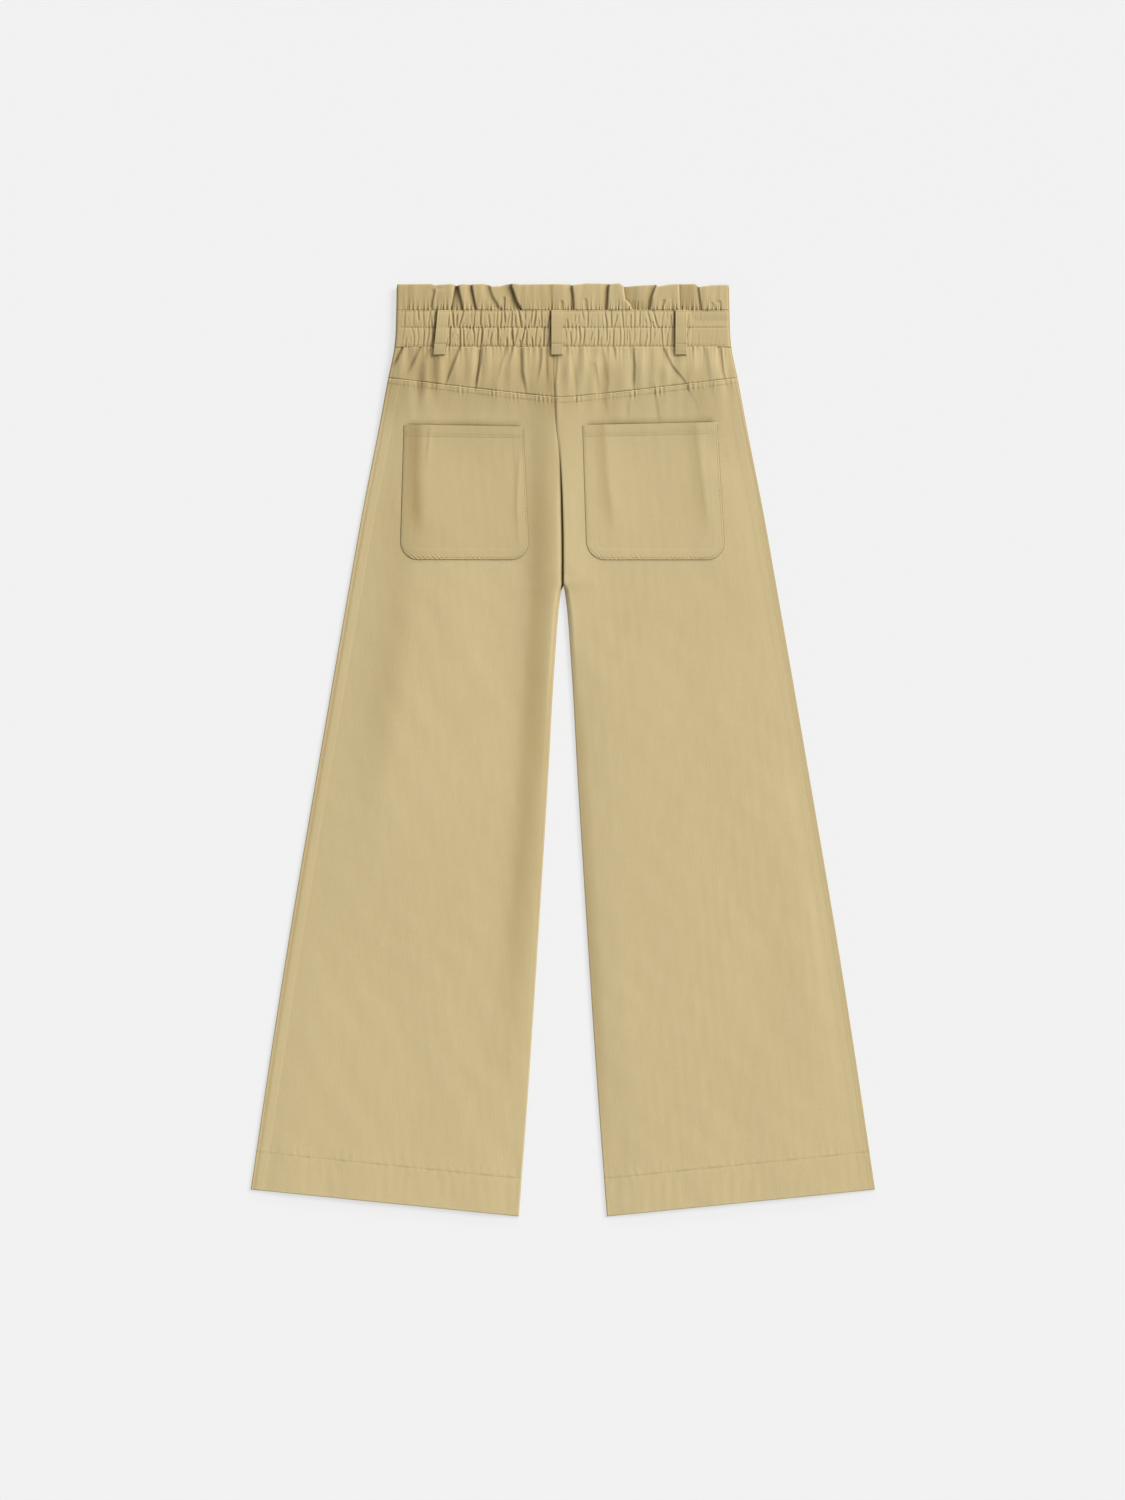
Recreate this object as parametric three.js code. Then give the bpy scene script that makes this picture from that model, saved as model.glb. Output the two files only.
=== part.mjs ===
// Paperbag waist trousers with wide legs, laid flat on their front, so the back is uppermost.
// Millimetres. +Z is up, the waist is towards +Y and the wearer's left leg is at -X.
// The origin is on the surface that the trousers lie on, under the middle of their outline.
import * as THREE from "three";

const { clamp, lerp, smoothstep } = THREE.MathUtils;

// Cloth walls and the gaps between pieces.
const TWILL = 1.3;
const FRILL_WALL = 1.8;
const BAND_WALL = 3.0;
const SEAM_GAP = 0.3;
const LAYER_GAP = 0.5;
const BAND_GAP = 1.1;
const LAP = 2.5;

// Levels along the garment, from the frill's top edge to the hems.
const FRILL_TOP = 501;
const BAND_TOP = 472;
const BAND_STITCH = 453.6;
const BAND_BOTTOM = 432.7;
const CROTCH = 180;
const HEM_SIDE = -472;
const HEM_INNER = -501;
const HEM_DEPTH = 43;
const HEM_RISE = 0.4;

// The side edge's distance from the centre line, a row for each change of slope.
const SIDE_EDGE = [
  { y: 501, x: 178.5 },
  { y: 472, x: 179 },
  { y: 433, x: 181 },
  { y: 398, x: 188 },
  { y: 355, x: 196 },
  { y: 258, x: 215 },
  { y: 162, x: 232 },
  { y: -32, x: 265.5 },
  { y: -225, x: 298 },
  { y: -354, x: 318 },
  { y: -472, x: 335.4 },
];

// The inseam edge's distance from the centre line.
const INSEAM_EDGE = [
  { y: 180, x: 0.4 },
  { y: 162, x: 3.2 },
  { y: 97, x: 8.6 },
  { y: -32, x: 16 },
  { y: -225, x: 28 },
  { y: -354, x: 36.5 },
  { y: -501, x: 47.3 },
];

// Where the turn of the front's inseam edge begins and is complete, below the crotch.
const TURN_START = CROTCH - 1;
const TURN_END = CROTCH - 16;

// The centre back seam leans to the wearer's left as it nears the band.
const CENTRE_LEAN = -9.9;

// The back yoke's lower seam: a shallow V with its point at the centre back.
const YOKE_POINT = 378.5;
const YOKE_RISE = 21.5;
const YOKE_HALF = 188;

// Height of the folded stack above the surface.
const LEG_STACK = 2 * TWILL + LAYER_GAP;
const BAND_STACK = 2 * BAND_WALL + BAND_GAP;
const STACK_FADE = 300;
const GATHER_RISE = 2.6;
const GATHER_EDGE = 26;
const SEAM_PINCH = 0.3;
const PINCH_REACH = 15;
const LEAST_HEIGHT = 2 * TWILL + SEAM_GAP;

// Troughs that the gathering leaves below the band, from their upper to their lower end.
const GATHERS = [
  { x0: -170, y0: 436, x1: -185, y1: 410, half: 8, depth: 1.6 },
  { x0: -140, y0: 436, x1: -161, y1: 350, half: 12, depth: 2.6 },
  { x0: -113, y0: 436, x1: -129, y1: 388, half: 8, depth: 1.6 },
  { x0: -86, y0: 440, x1: -97, y1: 380, half: 9, depth: 2.6 },
  { x0: -47, y0: 440, x1: -41, y1: 368, half: 9, depth: 2.4 },
  { x0: -22, y0: 436, x1: -29, y1: 390, half: 8, depth: 1.4 },
  { x0: 10, y0: 440, x1: 16, y1: 372, half: 8, depth: 1.6 },
  { x0: 44, y0: 436, x1: 48, y1: 345, half: 10, depth: 2.4 },
  { x0: 74, y0: 440, x1: 77, y1: 378, half: 9, depth: 2.4 },
  { x0: 99, y0: 440, x1: 146, y1: 358, half: 11, depth: 2.8 },
  { x0: 151, y0: 436, x1: 160, y1: 366, half: 8, depth: 1.8 },
];

// Folds of the frill: negative depths are troughs, positive ones rise.
const FRILL_FOLDS = [
  { xTop: -140, xFoot: -141, half: 9, depth: -1.6 },
  { xTop: -119, xFoot: -116, half: 7, depth: 1.4 },
  { xTop: -109, xFoot: -104, half: 6, depth: -2.2 },
  { xTop: -81, xFoot: -71, half: 7, depth: -1.6 },
  { xTop: -65, xFoot: -60, half: 6, depth: 1.2 },
  { xTop: -55, xFoot: -44, half: 7, depth: -2.2 },
  { xTop: -17, xFoot: -12, half: 8, depth: -1.2 },
  { xTop: 9, xFoot: 12, half: 7, depth: -1.8 },
  { xTop: 30, xFoot: 31, half: 9, depth: 1.0 },
  { xTop: 49, xFoot: 46, half: 6, depth: -1.6 },
  { xTop: 66, xFoot: 76, half: 7, depth: -1.6 },
  { xTop: 101, xFoot: 92, half: 6, depth: -2.0 },
  { xTop: 115, xFoot: 118, half: 8, depth: 1.2 },
  { xTop: 134, xFoot: 139, half: 9, depth: -1.6 },
];

// Shirring of the band: ridges across each of its two elastic channels.
const SHIRR_PITCH = 23;
const SHIRR_RISE = 0.7;
const BAND_STITCH_DIP = 0.6;

// Patch pockets: corners, and the radius of the two lower ones.
const POCKETS = [
  { name: "pocket_left", x0Top: -171, x1Top: -42, x0Foot: -175, x1Foot: -35.5, top: 348.5 },
  { name: "pocket_right", x0Top: 21, x1Top: 166, x0Foot: 25.5, x1Foot: 175, top: 350.5 },
];
const POCKET_FOOT = 204.3;
const POCKET_CORNER = 20;
const POCKET_SEAT = 0.5;

// Belt loops: the middle of the upper and lower ends.
const LOOPS = [
  { name: "belt_loop_left", xTop: -127.5, xFoot: -133.2 },
  { name: "belt_loop_centre", xTop: -6, xFoot: -6.2 },
  { name: "belt_loop_right", xTop: 127, xFoot: 127.2 },
];
const LOOP_TOP = 471;
const LOOP_FOOT = 423.5;
const LOOP_WIDTH = 12.4;
const LOOP_WALL = 1.8;
const LOOP_SEAT = 0.3;
const LOOP_ARCH = 2.2;
const LOOP_STEP = 3.5;

// How finely the cloth is divided.
const TURN_STEPS = 5;
const LEG_COLUMNS = 20;
const YOKE_COLUMNS = 22;
const WAIST_COLUMNS = 60;
const POCKET_COLUMNS = 10;

// Colours of the washed cotton twill.
const BACK_COLOUR = 0xcab88b;
const FRONT_COLOUR = 0xc5b286;
const TRIM_COLOUR = 0xbeab7f;

// Value of a table's x column at y, on a smooth curve through its rows, which run downwards.
function edgeAt(rows, y) {
  const last = rows.length - 1;
  let i = 0;
  while (i < last - 1 && y < rows[i + 1].y) {
    i += 1;
  }
  const slopeAt = (k) => {
    const above = rows[Math.max(k - 1, 0)];
    const below = rows[Math.min(k + 1, last)];
    return (below.x - above.x) / (below.y - above.y);
  };
  const span = rows[i + 1].y - rows[i].y;
  const t = clamp((y - rows[i].y) / span, 0, 1);
  const bend0 = span * slopeAt(i) - (rows[i + 1].x - rows[i].x);
  const bend1 = rows[i + 1].x - rows[i].x - span * slopeAt(i + 1);
  return lerp(rows[i].x, rows[i + 1].x, t) + t * (1 - t) * ((1 - t) * bend0 + t * bend1);
}

const sideEdge = (y) => edgeAt(SIDE_EDGE, y);
const inseamEdge = (y) => edgeAt(INSEAM_EDGE, Math.min(y, CROTCH));

// Height of the slanted hem at a distance x from the centre line.
function hemLevel(x) {
  const across = (Math.abs(x) - inseamEdge(HEM_INNER)) / (sideEdge(HEM_SIDE) - inseamEdge(HEM_INNER));
  return lerp(HEM_INNER, HEM_SIDE, clamp(across, 0, 1));
}

const yokeLevel = (x) => YOKE_POINT + YOKE_RISE * Math.pow(Math.abs(x) / YOKE_HALF, 1.1);

function centreBack(y) {
  return CENTRE_LEAN * Math.pow(clamp((y - CROTCH) / (BAND_BOTTOM - CROTCH), 0, 1), 1.9);
}

// Height of the whole stack at its side folds.
function stackHeight(y) {
  return lerp(LEG_STACK, BAND_STACK, smoothstep(y, STACK_FADE, BAND_BOTTOM));
}

// Share of a fold's depth at a distance from its line: 1 on the line, 0 at its half width.
function foldShape(distance, half) {
  return Math.pow(Math.cos((Math.PI / 2) * clamp(distance / half, -1, 1)), 2);
}

function gatherDepth(x, y) {
  let depth = 0;
  for (const fold of GATHERS) {
    const down = clamp((fold.y0 - y) / (fold.y0 - fold.y1), 0, 1);
    const fade = 1 - smoothstep(down, 0.45, 1);
    depth += fold.depth * fade * foldShape(x - lerp(fold.x0, fold.x1, down), fold.half);
  }
  return depth;
}

// Height of the back panels' outer face.
function backHeight(x, y) {
  const fromSide = sideEdge(y) - Math.abs(x);
  const full = smoothstep(fromSide, 0, GATHER_EDGE) * smoothstep(y, STACK_FADE + 20, BAND_BOTTOM);
  const hem = HEM_RISE * smoothstep(HEM_DEPTH - (y - hemLevel(x)), -1, 1);
  const puff = lerp(SEAM_PINCH, 1, smoothstep(BAND_BOTTOM - y, 0, PINCH_REACH));
  const relief = GATHER_RISE * full * puff - gatherDepth(x, y) * smoothstep(fromSide, 4, 16);
  return Math.max(stackHeight(y) + relief + hem, LEAST_HEIGHT);
}

// Height of the waistband's outer face: ridges in two channels, held down along the stitching.
function bandHeight(x, y) {
  const upper = y > BAND_STITCH;
  const [low, high] = upper ? [BAND_STITCH, BAND_TOP] : [BAND_BOTTOM, BAND_STITCH];
  const bulge = Math.sin(Math.PI * clamp((y - low) / (high - low), 0, 1));
  const phase = upper ? 0.8 : 2.6;
  const ridges = SHIRR_RISE * Math.sin((2 * Math.PI * x) / SHIRR_PITCH + phase);
  const calm = smoothstep(sideEdge(y) - Math.abs(x), 4, 22);
  return BAND_STACK + calm * (bulge * (ridges + BAND_STITCH_DIP) - BAND_STITCH_DIP);
}

// Height of the frill's outer face, loosest along its top edge.
function frillHeight(x, y) {
  const up = clamp((y - BAND_TOP) / (FRILL_TOP - BAND_TOP), 0, 1);
  let relief = 0;
  for (const fold of FRILL_FOLDS) {
    relief += fold.depth * foldShape(x - lerp(fold.xFoot, fold.xTop, up), fold.half);
  }
  const calm = smoothstep(sideEdge(y) - Math.abs(x), 5, 22);
  return BAND_STACK + calm * relief * lerp(0.45, 1, up);
}

function outerHeight(x, y) {
  if (y > BAND_TOP) {
    return frillHeight(x, y);
  }
  return y > BAND_BOTTOM ? bandHeight(x, y) : backHeight(x, y);
}

// A closed wall between two grids of points that share their rows and columns.
function wallGeometry(outer, inner) {
  const rows = outer.length;
  const columns = outer[0].length;
  const points = [...outer.flat(), ...inner.flat()];
  const at = (row, column) => row * columns + column;
  const inside = (index) => index + rows * columns;
  const faces = [];
  for (let r = 0; r < rows - 1; r += 1) {
    for (let c = 0; c < columns - 1; c += 1) {
      const [a, b, d, e] = [at(r, c), at(r, c + 1), at(r + 1, c + 1), at(r + 1, c)];
      faces.push([a, b, d], [a, d, e]);
      faces.push([inside(a), inside(d), inside(b)], [inside(a), inside(e), inside(d)]);
    }
  }
  const rim = [];
  for (let c = 0; c < columns - 1; c += 1) rim.push(at(0, c));
  for (let r = 0; r < rows - 1; r += 1) rim.push(at(r, columns - 1));
  for (let c = columns - 1; c > 0; c -= 1) rim.push(at(rows - 1, c));
  for (let r = rows - 1; r > 0; r -= 1) rim.push(at(r, 0));
  rim.forEach((p, i) => {
    const q = rim[(i + 1) % rim.length];
    faces.push([q, p, inside(p)], [q, inside(p), inside(q)]);
  });
  const outward = volumeOf(points, faces) > 0 ? faces : faces.map(([a, b, c]) => [a, c, b]);
  const geometry = new THREE.BufferGeometry().setFromPoints(points);
  geometry.setIndex(outward.flat());
  geometry.computeVertexNormals();
  return geometry;
}

function volumeOf(points, faces) {
  const cross = new THREE.Vector3();
  return faces.reduce(
    (sum, [a, b, c]) => sum + cross.crossVectors(points[b], points[c]).dot(points[a]) / 6,
    0,
  );
}

function clothMesh(name, outer, inner, color) {
  const material = new THREE.MeshStandardMaterial({ color, roughness: 0.9, metalness: 0 });
  const mesh = new THREE.Mesh(wallGeometry(outer, inner), material);
  mesh.name = name;
  return mesh;
}

// Evenly spaced values from a to b.
function steps(a, b, count) {
  return Array.from({ length: count + 1 }, (_, i) => lerp(a, b, i / count));
}

// Both faces of a sheet at one place: a flat run that turns up and back over itself at its edge.
// x runs outwards from where the turn begins. turn is 0 for a flat edge and 1 for a full one.
function edgeTurn(stack, wall, turn) {
  const radius = (stack - wall) / 2;
  const bend = Math.max(turn, 1e-3) / radius;
  const lengths = [...steps(0, Math.PI * radius, TURN_STEPS), Math.PI * radius + LAP];
  return lengths.map((s) => {
    const curved = Math.min(s, Math.PI * radius);
    const angle = bend * curved;
    const x = Math.sin(angle) / bend + (s - curved) * Math.cos(angle);
    const z = wall / 2 + (1 - Math.cos(angle)) / bend + (s - curved) * Math.sin(angle);
    const [nx, nz] = [-Math.sin(angle) * (wall / 2), Math.cos(angle) * (wall / 2)];
    return { outer: { x: x - nx, z: z - nz }, inner: { x: x + nx, z: z + nz } };
  });
}

// The turned edge placed with its outermost point at x = edge. out is 1 or -1.
function placedTurn(edge, out, stack, wall, turn) {
  const profile = edgeTurn(stack, wall, turn);
  const reach = Math.max(...profile.flatMap((p) => [p.outer.x, p.inner.x]));
  const place = (p) => new THREE.Vector3(edge + out * (p.x - reach), 0, Math.max(p.z, 0));
  return profile.map((p) => ({ outer: place(p.outer), inner: place(p.inner) }));
}

// A front piece, flat below, whose edges turn up. Each row states its low and high edges in x as
// { edge, turn }, and level gives y at any x.
function frontMesh(name, rows, wall, color) {
  const outer = [];
  const inner = [];
  for (const row of rows) {
    const low = placedTurn(row.low.edge, -1, row.stack, wall, row.low.turn);
    const high = placedTurn(row.high.edge, 1, row.stack, wall, row.high.turn);
    const section = [...low.reverse(), ...high];
    const lift = (point) => new THREE.Vector3(point.x, row.level(point.x), point.z);
    outer.push(section.map((p) => lift(p.outer)));
    inner.push(section.map((p) => lift(p.inner)));
  }
  return clothMesh(name, outer, inner, color);
}

// Share of the front's inseam turn that is complete at y.
const inseamTurn = (y) => smoothstep(TURN_START - y, 0, TURN_START - TURN_END);

// A straight row of the leg, tilting towards the hem as it nears it.
function legRow(y) {
  const tilt = smoothstep(-y, -CROTCH, -HEM_INNER);
  const middle = hemLevel((sideEdge(HEM_SIDE) + inseamEdge(HEM_INNER)) / 2);
  return (x) => y + tilt * (hemLevel(x) - middle);
}

// Levels of the leg's rows, closer together at the crotch and at the hem's fold.
function legLevels(top, hem) {
  return [
    ...steps(top, CROTCH + 12, 5),
    TURN_START,
    lerp(TURN_START, TURN_END, 0.35),
    lerp(TURN_START, TURN_END, 0.7),
    TURN_END - 2,
    ...steps(CROTCH - 60, hem + HEM_DEPTH + 1.2, 4),
    hem + HEM_DEPTH - 1.2,
    hem,
  ];
}

const HEM_MIDDLE = (HEM_SIDE + HEM_INNER) / 2;

function frontLeg(name, side) {
  const rows = legLevels(BAND_BOTTOM - SEAM_GAP / 2, HEM_MIDDLE).map((y) => {
    const forkEdge = y > TURN_START ? SEAM_GAP / 2 : inseamEdge(y);
    const fork = { edge: side * forkEdge, turn: inseamTurn(y) };
    const flank = { edge: side * sideEdge(y), turn: 1 };
    const [low, high] = side > 0 ? [fork, flank] : [flank, fork];
    const level = y > CROTCH ? () => y : legRow(y);
    return { low, high, level, stack: stackHeight(y) };
  });
  return frontMesh(name, rows, TWILL, FRONT_COLOUR);
}

// The back's edges at y, just inside the front's turned edges.
function backEdges(side, y) {
  const inset = stackHeight(y) / 2 + LAP + SEAM_GAP;
  const seam = centreBack(y) + (side * SEAM_GAP) / 2;
  const fork = side * (inseamEdge(y) + inset);
  const opened = smoothstep(TURN_START - y, -10, (TURN_START - TURN_END) / 2);
  return { inner: lerp(seam, fork, opened), outer: side * (sideEdge(y) - inset) };
}

// A point of the back's outer face: share is 0 at the inner edge and 1 at the side seam.
function backPoint(side, share, levelAt) {
  let x = side * lerp(20, 180, share);
  let y = levelAt(x);
  for (let pass = 0; pass < 6; pass += 1) {
    const edges = backEdges(side, y);
    x = lerp(edges.inner, edges.outer, share);
    y = levelAt(x);
  }
  return new THREE.Vector3(x, y, backHeight(x, y));
}

const lowered = (grid, wall) => grid.map((row) => row.map((p) => p.clone().setZ(p.z - wall)));

function backLeg(name, side) {
  const top = YOKE_POINT - 6;
  const levels = legLevels(top, HEM_MIDDLE);
  const outer = levels.map((y, i) => {
    const level = y > CROTCH ? () => y : legRow(y);
    const yoke = 1 - smoothstep(i, 0, 4);
    const nearYoke = (x) => level(x) + yoke * (yokeLevel(x) - SEAM_GAP / 2 - top);
    return steps(0, 1, LEG_COLUMNS).map((share) => backPoint(side, share, nearYoke));
  });
  return clothMesh(name, outer, lowered(outer, TWILL), BACK_COLOUR);
}

function backYoke(name, side) {
  const outer = steps(0, 1, 4).map((down) => {
    const level = (x) => lerp(BAND_BOTTOM - SEAM_GAP / 2, yokeLevel(x) + SEAM_GAP / 2, down);
    return steps(0, 1, YOKE_COLUMNS).map((share) => backPoint(side, share, level));
  });
  return clothMesh(name, outer, lowered(outer, TWILL), BACK_COLOUR);
}

// A strip of the waist, at the back: its ends stop short of the front's turned edges.
function waistBack(name, levels, wall, height, color) {
  const outer = levels.map((y) => {
    const reach = sideEdge(y) - BAND_STACK / 2 - LAP - SEAM_GAP;
    return steps(-reach, reach, WAIST_COLUMNS).map((x) => new THREE.Vector3(x, y, height(x, y)));
  });
  return clothMesh(name, outer, lowered(outer, wall), color);
}

function waistFront(name, levels, wall, color) {
  const rows = levels.map((y) => {
    const [low, high] = [-1, 1].map((side) => ({ edge: side * sideEdge(y), turn: 1 }));
    return { low, high, level: () => y, stack: BAND_STACK };
  });
  return frontMesh(name, rows, wall, color);
}

function waistband() {
  const [top, foot] = [BAND_TOP - SEAM_GAP / 2, BAND_BOTTOM + SEAM_GAP / 2];
  const middles = [(top + BAND_STITCH) / 2, BAND_STITCH, (BAND_STITCH + foot) / 2];
  return [
    waistBack("waistband_back", [top, ...middles, foot], BAND_WALL, bandHeight, TRIM_COLOUR),
    waistFront("waistband_front", [top, foot], BAND_WALL, TRIM_COLOUR),
  ];
}

function frill() {
  const foot = BAND_TOP + SEAM_GAP / 2;
  return [
    waistBack("frill_back", steps(FRILL_TOP, foot, 3), FRILL_WALL, frillHeight, BACK_COLOUR),
    waistFront("frill_front", [FRILL_TOP, foot], FRILL_WALL, FRONT_COLOUR),
  ];
}

// A patch pocket made from the panel's own points, moved out. Its lower corners are arcs.
function pocket({ name, x0Top, x1Top, x0Foot, x1Foot, top }) {
  const arcs = steps(0, Math.PI / 2, 4).map((a) => POCKET_FOOT + POCKET_CORNER * (1 - Math.sin(a)));
  const levels = [...steps(top, POCKET_FOOT + POCKET_CORNER + 20, 4), ...arcs];
  const seat = levels.map((y) => {
    const down = (top - y) / (top - POCKET_FOOT);
    const below = clamp(POCKET_FOOT + POCKET_CORNER - y, 0, POCKET_CORNER);
    const tuck = POCKET_CORNER - Math.sqrt(POCKET_CORNER ** 2 - below ** 2);
    const [x0, x1] = [lerp(x0Top, x0Foot, down) + tuck, lerp(x1Top, x1Foot, down) - tuck];
    return steps(x0, x1, POCKET_COLUMNS).map((x) => new THREE.Vector3(x, y, backHeight(x, y) + POCKET_SEAT));
  });
  return clothMesh(name, lowered(seat, -TWILL), seat, BACK_COLOUR);
}

// A belt loop: a strip seated at both ends that arches over the band.
function beltLoop({ name, xTop, xFoot }) {
  const seat = steps(0, 1, 10).map((down) => {
    const y = lerp(LOOP_TOP, LOOP_FOOT, down);
    const across = steps(-LOOP_WIDTH / 2, LOOP_WIDTH / 2, 4).map((dx) => lerp(xTop, xFoot, down) + dx);
    const near = steps(-LOOP_STEP, LOOP_STEP, 4).map((dy) => clamp(y + dy, LOOP_FOOT, LOOP_TOP));
    const carrier = Math.max(...across.flatMap((x) => near.map((level) => outerHeight(x, level))));
    const z = carrier + LOOP_SEAT + LOOP_ARCH * Math.sin(Math.PI * down);
    return [across[0], across[across.length - 1]].map((x) => new THREE.Vector3(x, y, z));
  });
  return clothMesh(name, lowered(seat, -LOOP_WALL), seat, TRIM_COLOUR);
}

function legs() {
  return [
    frontLeg("front_leg_left", -1),
    frontLeg("front_leg_right", 1),
    backLeg("back_leg_left", -1),
    backLeg("back_leg_right", 1),
    backYoke("back_yoke_left", -1),
    backYoke("back_yoke_right", 1),
  ];
}

const trousers = new THREE.Group();
trousers.name = "paperbag_waist_trousers";
trousers.add(...legs(), ...waistband(), ...frill(), ...POCKETS.map(pocket), ...LOOPS.map(beltLoop));

export default trousers;
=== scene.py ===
"""Paperbag waist trousers in beige cotton twill, laid flat on their front.

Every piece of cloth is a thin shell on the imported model's form. Lengths are in millimetres on the
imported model's axes and become metres when a mesh is made. The waist is towards +Y, the back of the
trousers is uppermost, and the wearer's left leg is at -X.
"""

import logging
import math
from dataclasses import dataclass
from enum import Enum
from functools import partial
from typing import Callable, NamedTuple, Sequence

import bpy
import numpy as np
from bpy.types import Material, Mesh, Node, NodeSocket, NodeTree, Object
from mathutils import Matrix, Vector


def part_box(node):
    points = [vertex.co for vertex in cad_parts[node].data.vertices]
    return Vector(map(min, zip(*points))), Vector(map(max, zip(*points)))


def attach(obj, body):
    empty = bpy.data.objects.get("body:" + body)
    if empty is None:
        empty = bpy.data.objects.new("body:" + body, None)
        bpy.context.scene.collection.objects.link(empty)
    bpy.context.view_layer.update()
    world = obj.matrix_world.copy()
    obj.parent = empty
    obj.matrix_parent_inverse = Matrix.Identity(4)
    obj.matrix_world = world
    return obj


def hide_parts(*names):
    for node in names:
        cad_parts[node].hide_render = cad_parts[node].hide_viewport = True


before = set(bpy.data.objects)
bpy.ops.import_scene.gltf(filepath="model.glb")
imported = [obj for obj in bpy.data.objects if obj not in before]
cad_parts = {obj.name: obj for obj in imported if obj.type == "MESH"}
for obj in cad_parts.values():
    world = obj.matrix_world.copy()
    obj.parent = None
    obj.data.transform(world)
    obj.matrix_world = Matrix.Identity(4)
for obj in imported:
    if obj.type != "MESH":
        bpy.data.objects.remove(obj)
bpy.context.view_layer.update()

LOG = logging.getLogger("trousers")
MM = 0.001
# Half the gap between two pieces at a seam.
HALF_GAP = 0.15
# How far in from a side fold the columns are dense, as a share of the fold's height.
DENSE_REACH = 0.62
Field = np.ndarray


class Side(Enum):
    """The wearer's sides, with the sign of their x."""

    LEFT = -1
    RIGHT = 1

    def of(self, stem: str) -> str:
        """Name of this side's piece."""
        return f"{stem}_{self.name.lower()}"


class Over(Enum):
    """Which side of a fold line lies on top."""

    RIGHT = 1
    LEFT = -1


class Slot(Enum):
    """The record's material slots."""

    TWILL = "twill"
    THREAD = "thread"


# ---------------------------------------------------------------- shapes of relief


def ease(t: Field) -> Field:
    """Smooth step from 0 to 1 as t goes from 0 to 1."""
    t = np.clip(t, 0.0, 1.0)
    return t * t * (3.0 - 2.0 * t)


def mix(a: Field, b: Field, t: Field) -> Field:
    """Value between a and b at share t."""
    return a + (b - a) * t


def hump(distance: Field, reach: Field) -> Field:
    """Rounded hump of height 1, at a distance from its crest."""
    return np.exp(-((distance / reach) ** 2))


def bell(distance: Field, left: float, right: float) -> Field:
    """Rounded hump of height 1 whose reach differs on its two sides.

    Args:
        distance: signed distance from its crest, negative on the left.
        left: reach on the left.
        right: reach on the right.

    Returns:
        Height at each distance.
    """
    return hump(distance, np.where(distance < 0, left, right))


def round_off(distance: Field, radius: float) -> Field:
    """Drop of a rounded edge of the given radius, at a distance in from that edge."""
    inward = np.clip(1.0 - distance / radius, 0.0, 1.0)
    return radius * (1.0 - np.sqrt(np.maximum(1.0 - inward**2, 0.0)))


def ripples(x: Field, y: Field, seed: int, across: float, along: float, count: int = 9) -> Field:
    """Uneven waves of about unit height.

    Args:
        x: place across.
        y: place along.
        seed: fixes the waves.
        across: typical wavelength across.
        along: typical wavelength along.
        count: how many waves are added up.

    Returns:
        Height at each place.
    """
    rng = np.random.default_rng(seed)
    total = np.zeros(np.broadcast(x, y).shape)
    for _ in range(count):
        wave_x = across * rng.uniform(0.65, 1.6)
        wave_y = along * rng.uniform(0.65, 1.6) * rng.choice([-1.0, 1.0])
        total += np.cos(2.0 * np.pi * (x / wave_x + y / wave_y) + rng.uniform(0, 2 * np.pi))
    return total * math.sqrt(2.0 / count)


class Station(NamedTuple):
    """One place on an edge of the outline: its level and its distance from the centre line."""

    y: float
    x: float


def edge_at(stations: Sequence[Station], y: Field) -> Field:
    """Distance of an edge from the centre line at y, on a smooth curve through its stations."""
    levels = np.array([s.y for s in stations][::-1])
    places = np.array([s.x for s in stations][::-1])
    slopes = np.gradient(places, levels)
    y = np.clip(y, levels[0], levels[-1])
    i = np.clip(np.searchsorted(levels, y, side="right") - 1, 0, len(levels) - 2)
    span = levels[i + 1] - levels[i]
    t = (y - levels[i]) / span
    rise = places[i + 1] - places[i]
    bend = (1 - t) * (span * slopes[i] - rise) + t * (rise - span * slopes[i + 1])
    return mix(places[i], places[i + 1], t) + t * (1 - t) * bend


class Crease(NamedTuple):
    """A fold line where the cloth on one side rides over the cloth on the other.

    path runs downwards as (x, y) points. dip is the depth of the trough on the low side and rise
    the height of the roll on the high side. low and high are their reaches, and edge the reach of
    the steep face between them. tail is the share of its length over which the line dies away.
    """

    path: tuple
    dip: float
    rise: float
    low: float
    high: float
    edge: float
    tail: float = 0.5
    over: Over = Over.RIGHT


class Roll(NamedTuple):
    """A long soft roll down a leg, with its height and its reach on the left and the right; in the shade
    tables, a band of painted shade.
    """

    path: tuple
    rise: float
    left: float
    right: float


def off_path(x: Field, y: Field, path: tuple) -> tuple[Field, Field]:
    """Place relative to a path of (x, y) points that runs downwards.

    Args:
        x: place across.
        y: place along.
        path: the path.

    Returns:
        Distance to the right of the path, and the share of the path passed.
    """
    xs = np.array([point[0] for point in path])
    ys = np.array([point[1] for point in path])
    length = ys[0] - ys[-1]
    lean = (xs[-1] - xs[0]) / length
    distance = (x - np.interp(-y, -ys, xs)) / math.hypot(1.0, lean)
    return distance, (ys[0] - y) / length


def crease_relief(x: Field, y: Field, creases: Sequence[Crease]) -> Field:
    """Height that the creases add at each place."""
    total = np.zeros(np.broadcast(x, y).shape)
    for crease in creases:
        distance, down = off_path(x, y, crease.path)
        distance = distance * crease.over.value
        fade = ease((down + 0.12) / 0.2) * ease((1.0 - down) / crease.tail)
        trough = crease.dip * bell(distance, crease.low, crease.edge)
        roll = crease.rise * bell(distance - 1.6 * crease.edge, crease.edge, crease.high)
        total += fade * (roll - trough)
    return total


def roll_relief(x: Field, y: Field, rolls: Sequence[Roll]) -> Field:
    """Height that the long rolls add at each place."""
    total = np.zeros(np.broadcast(x, y).shape)
    for roll in rolls:
        distance, down = off_path(x, y, roll.path)
        fade = roll.rise * ease(down / 0.22) * ease((1.0 - down) / 0.4)
        total += fade * bell(distance, roll.left, roll.right)
    return total


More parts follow.
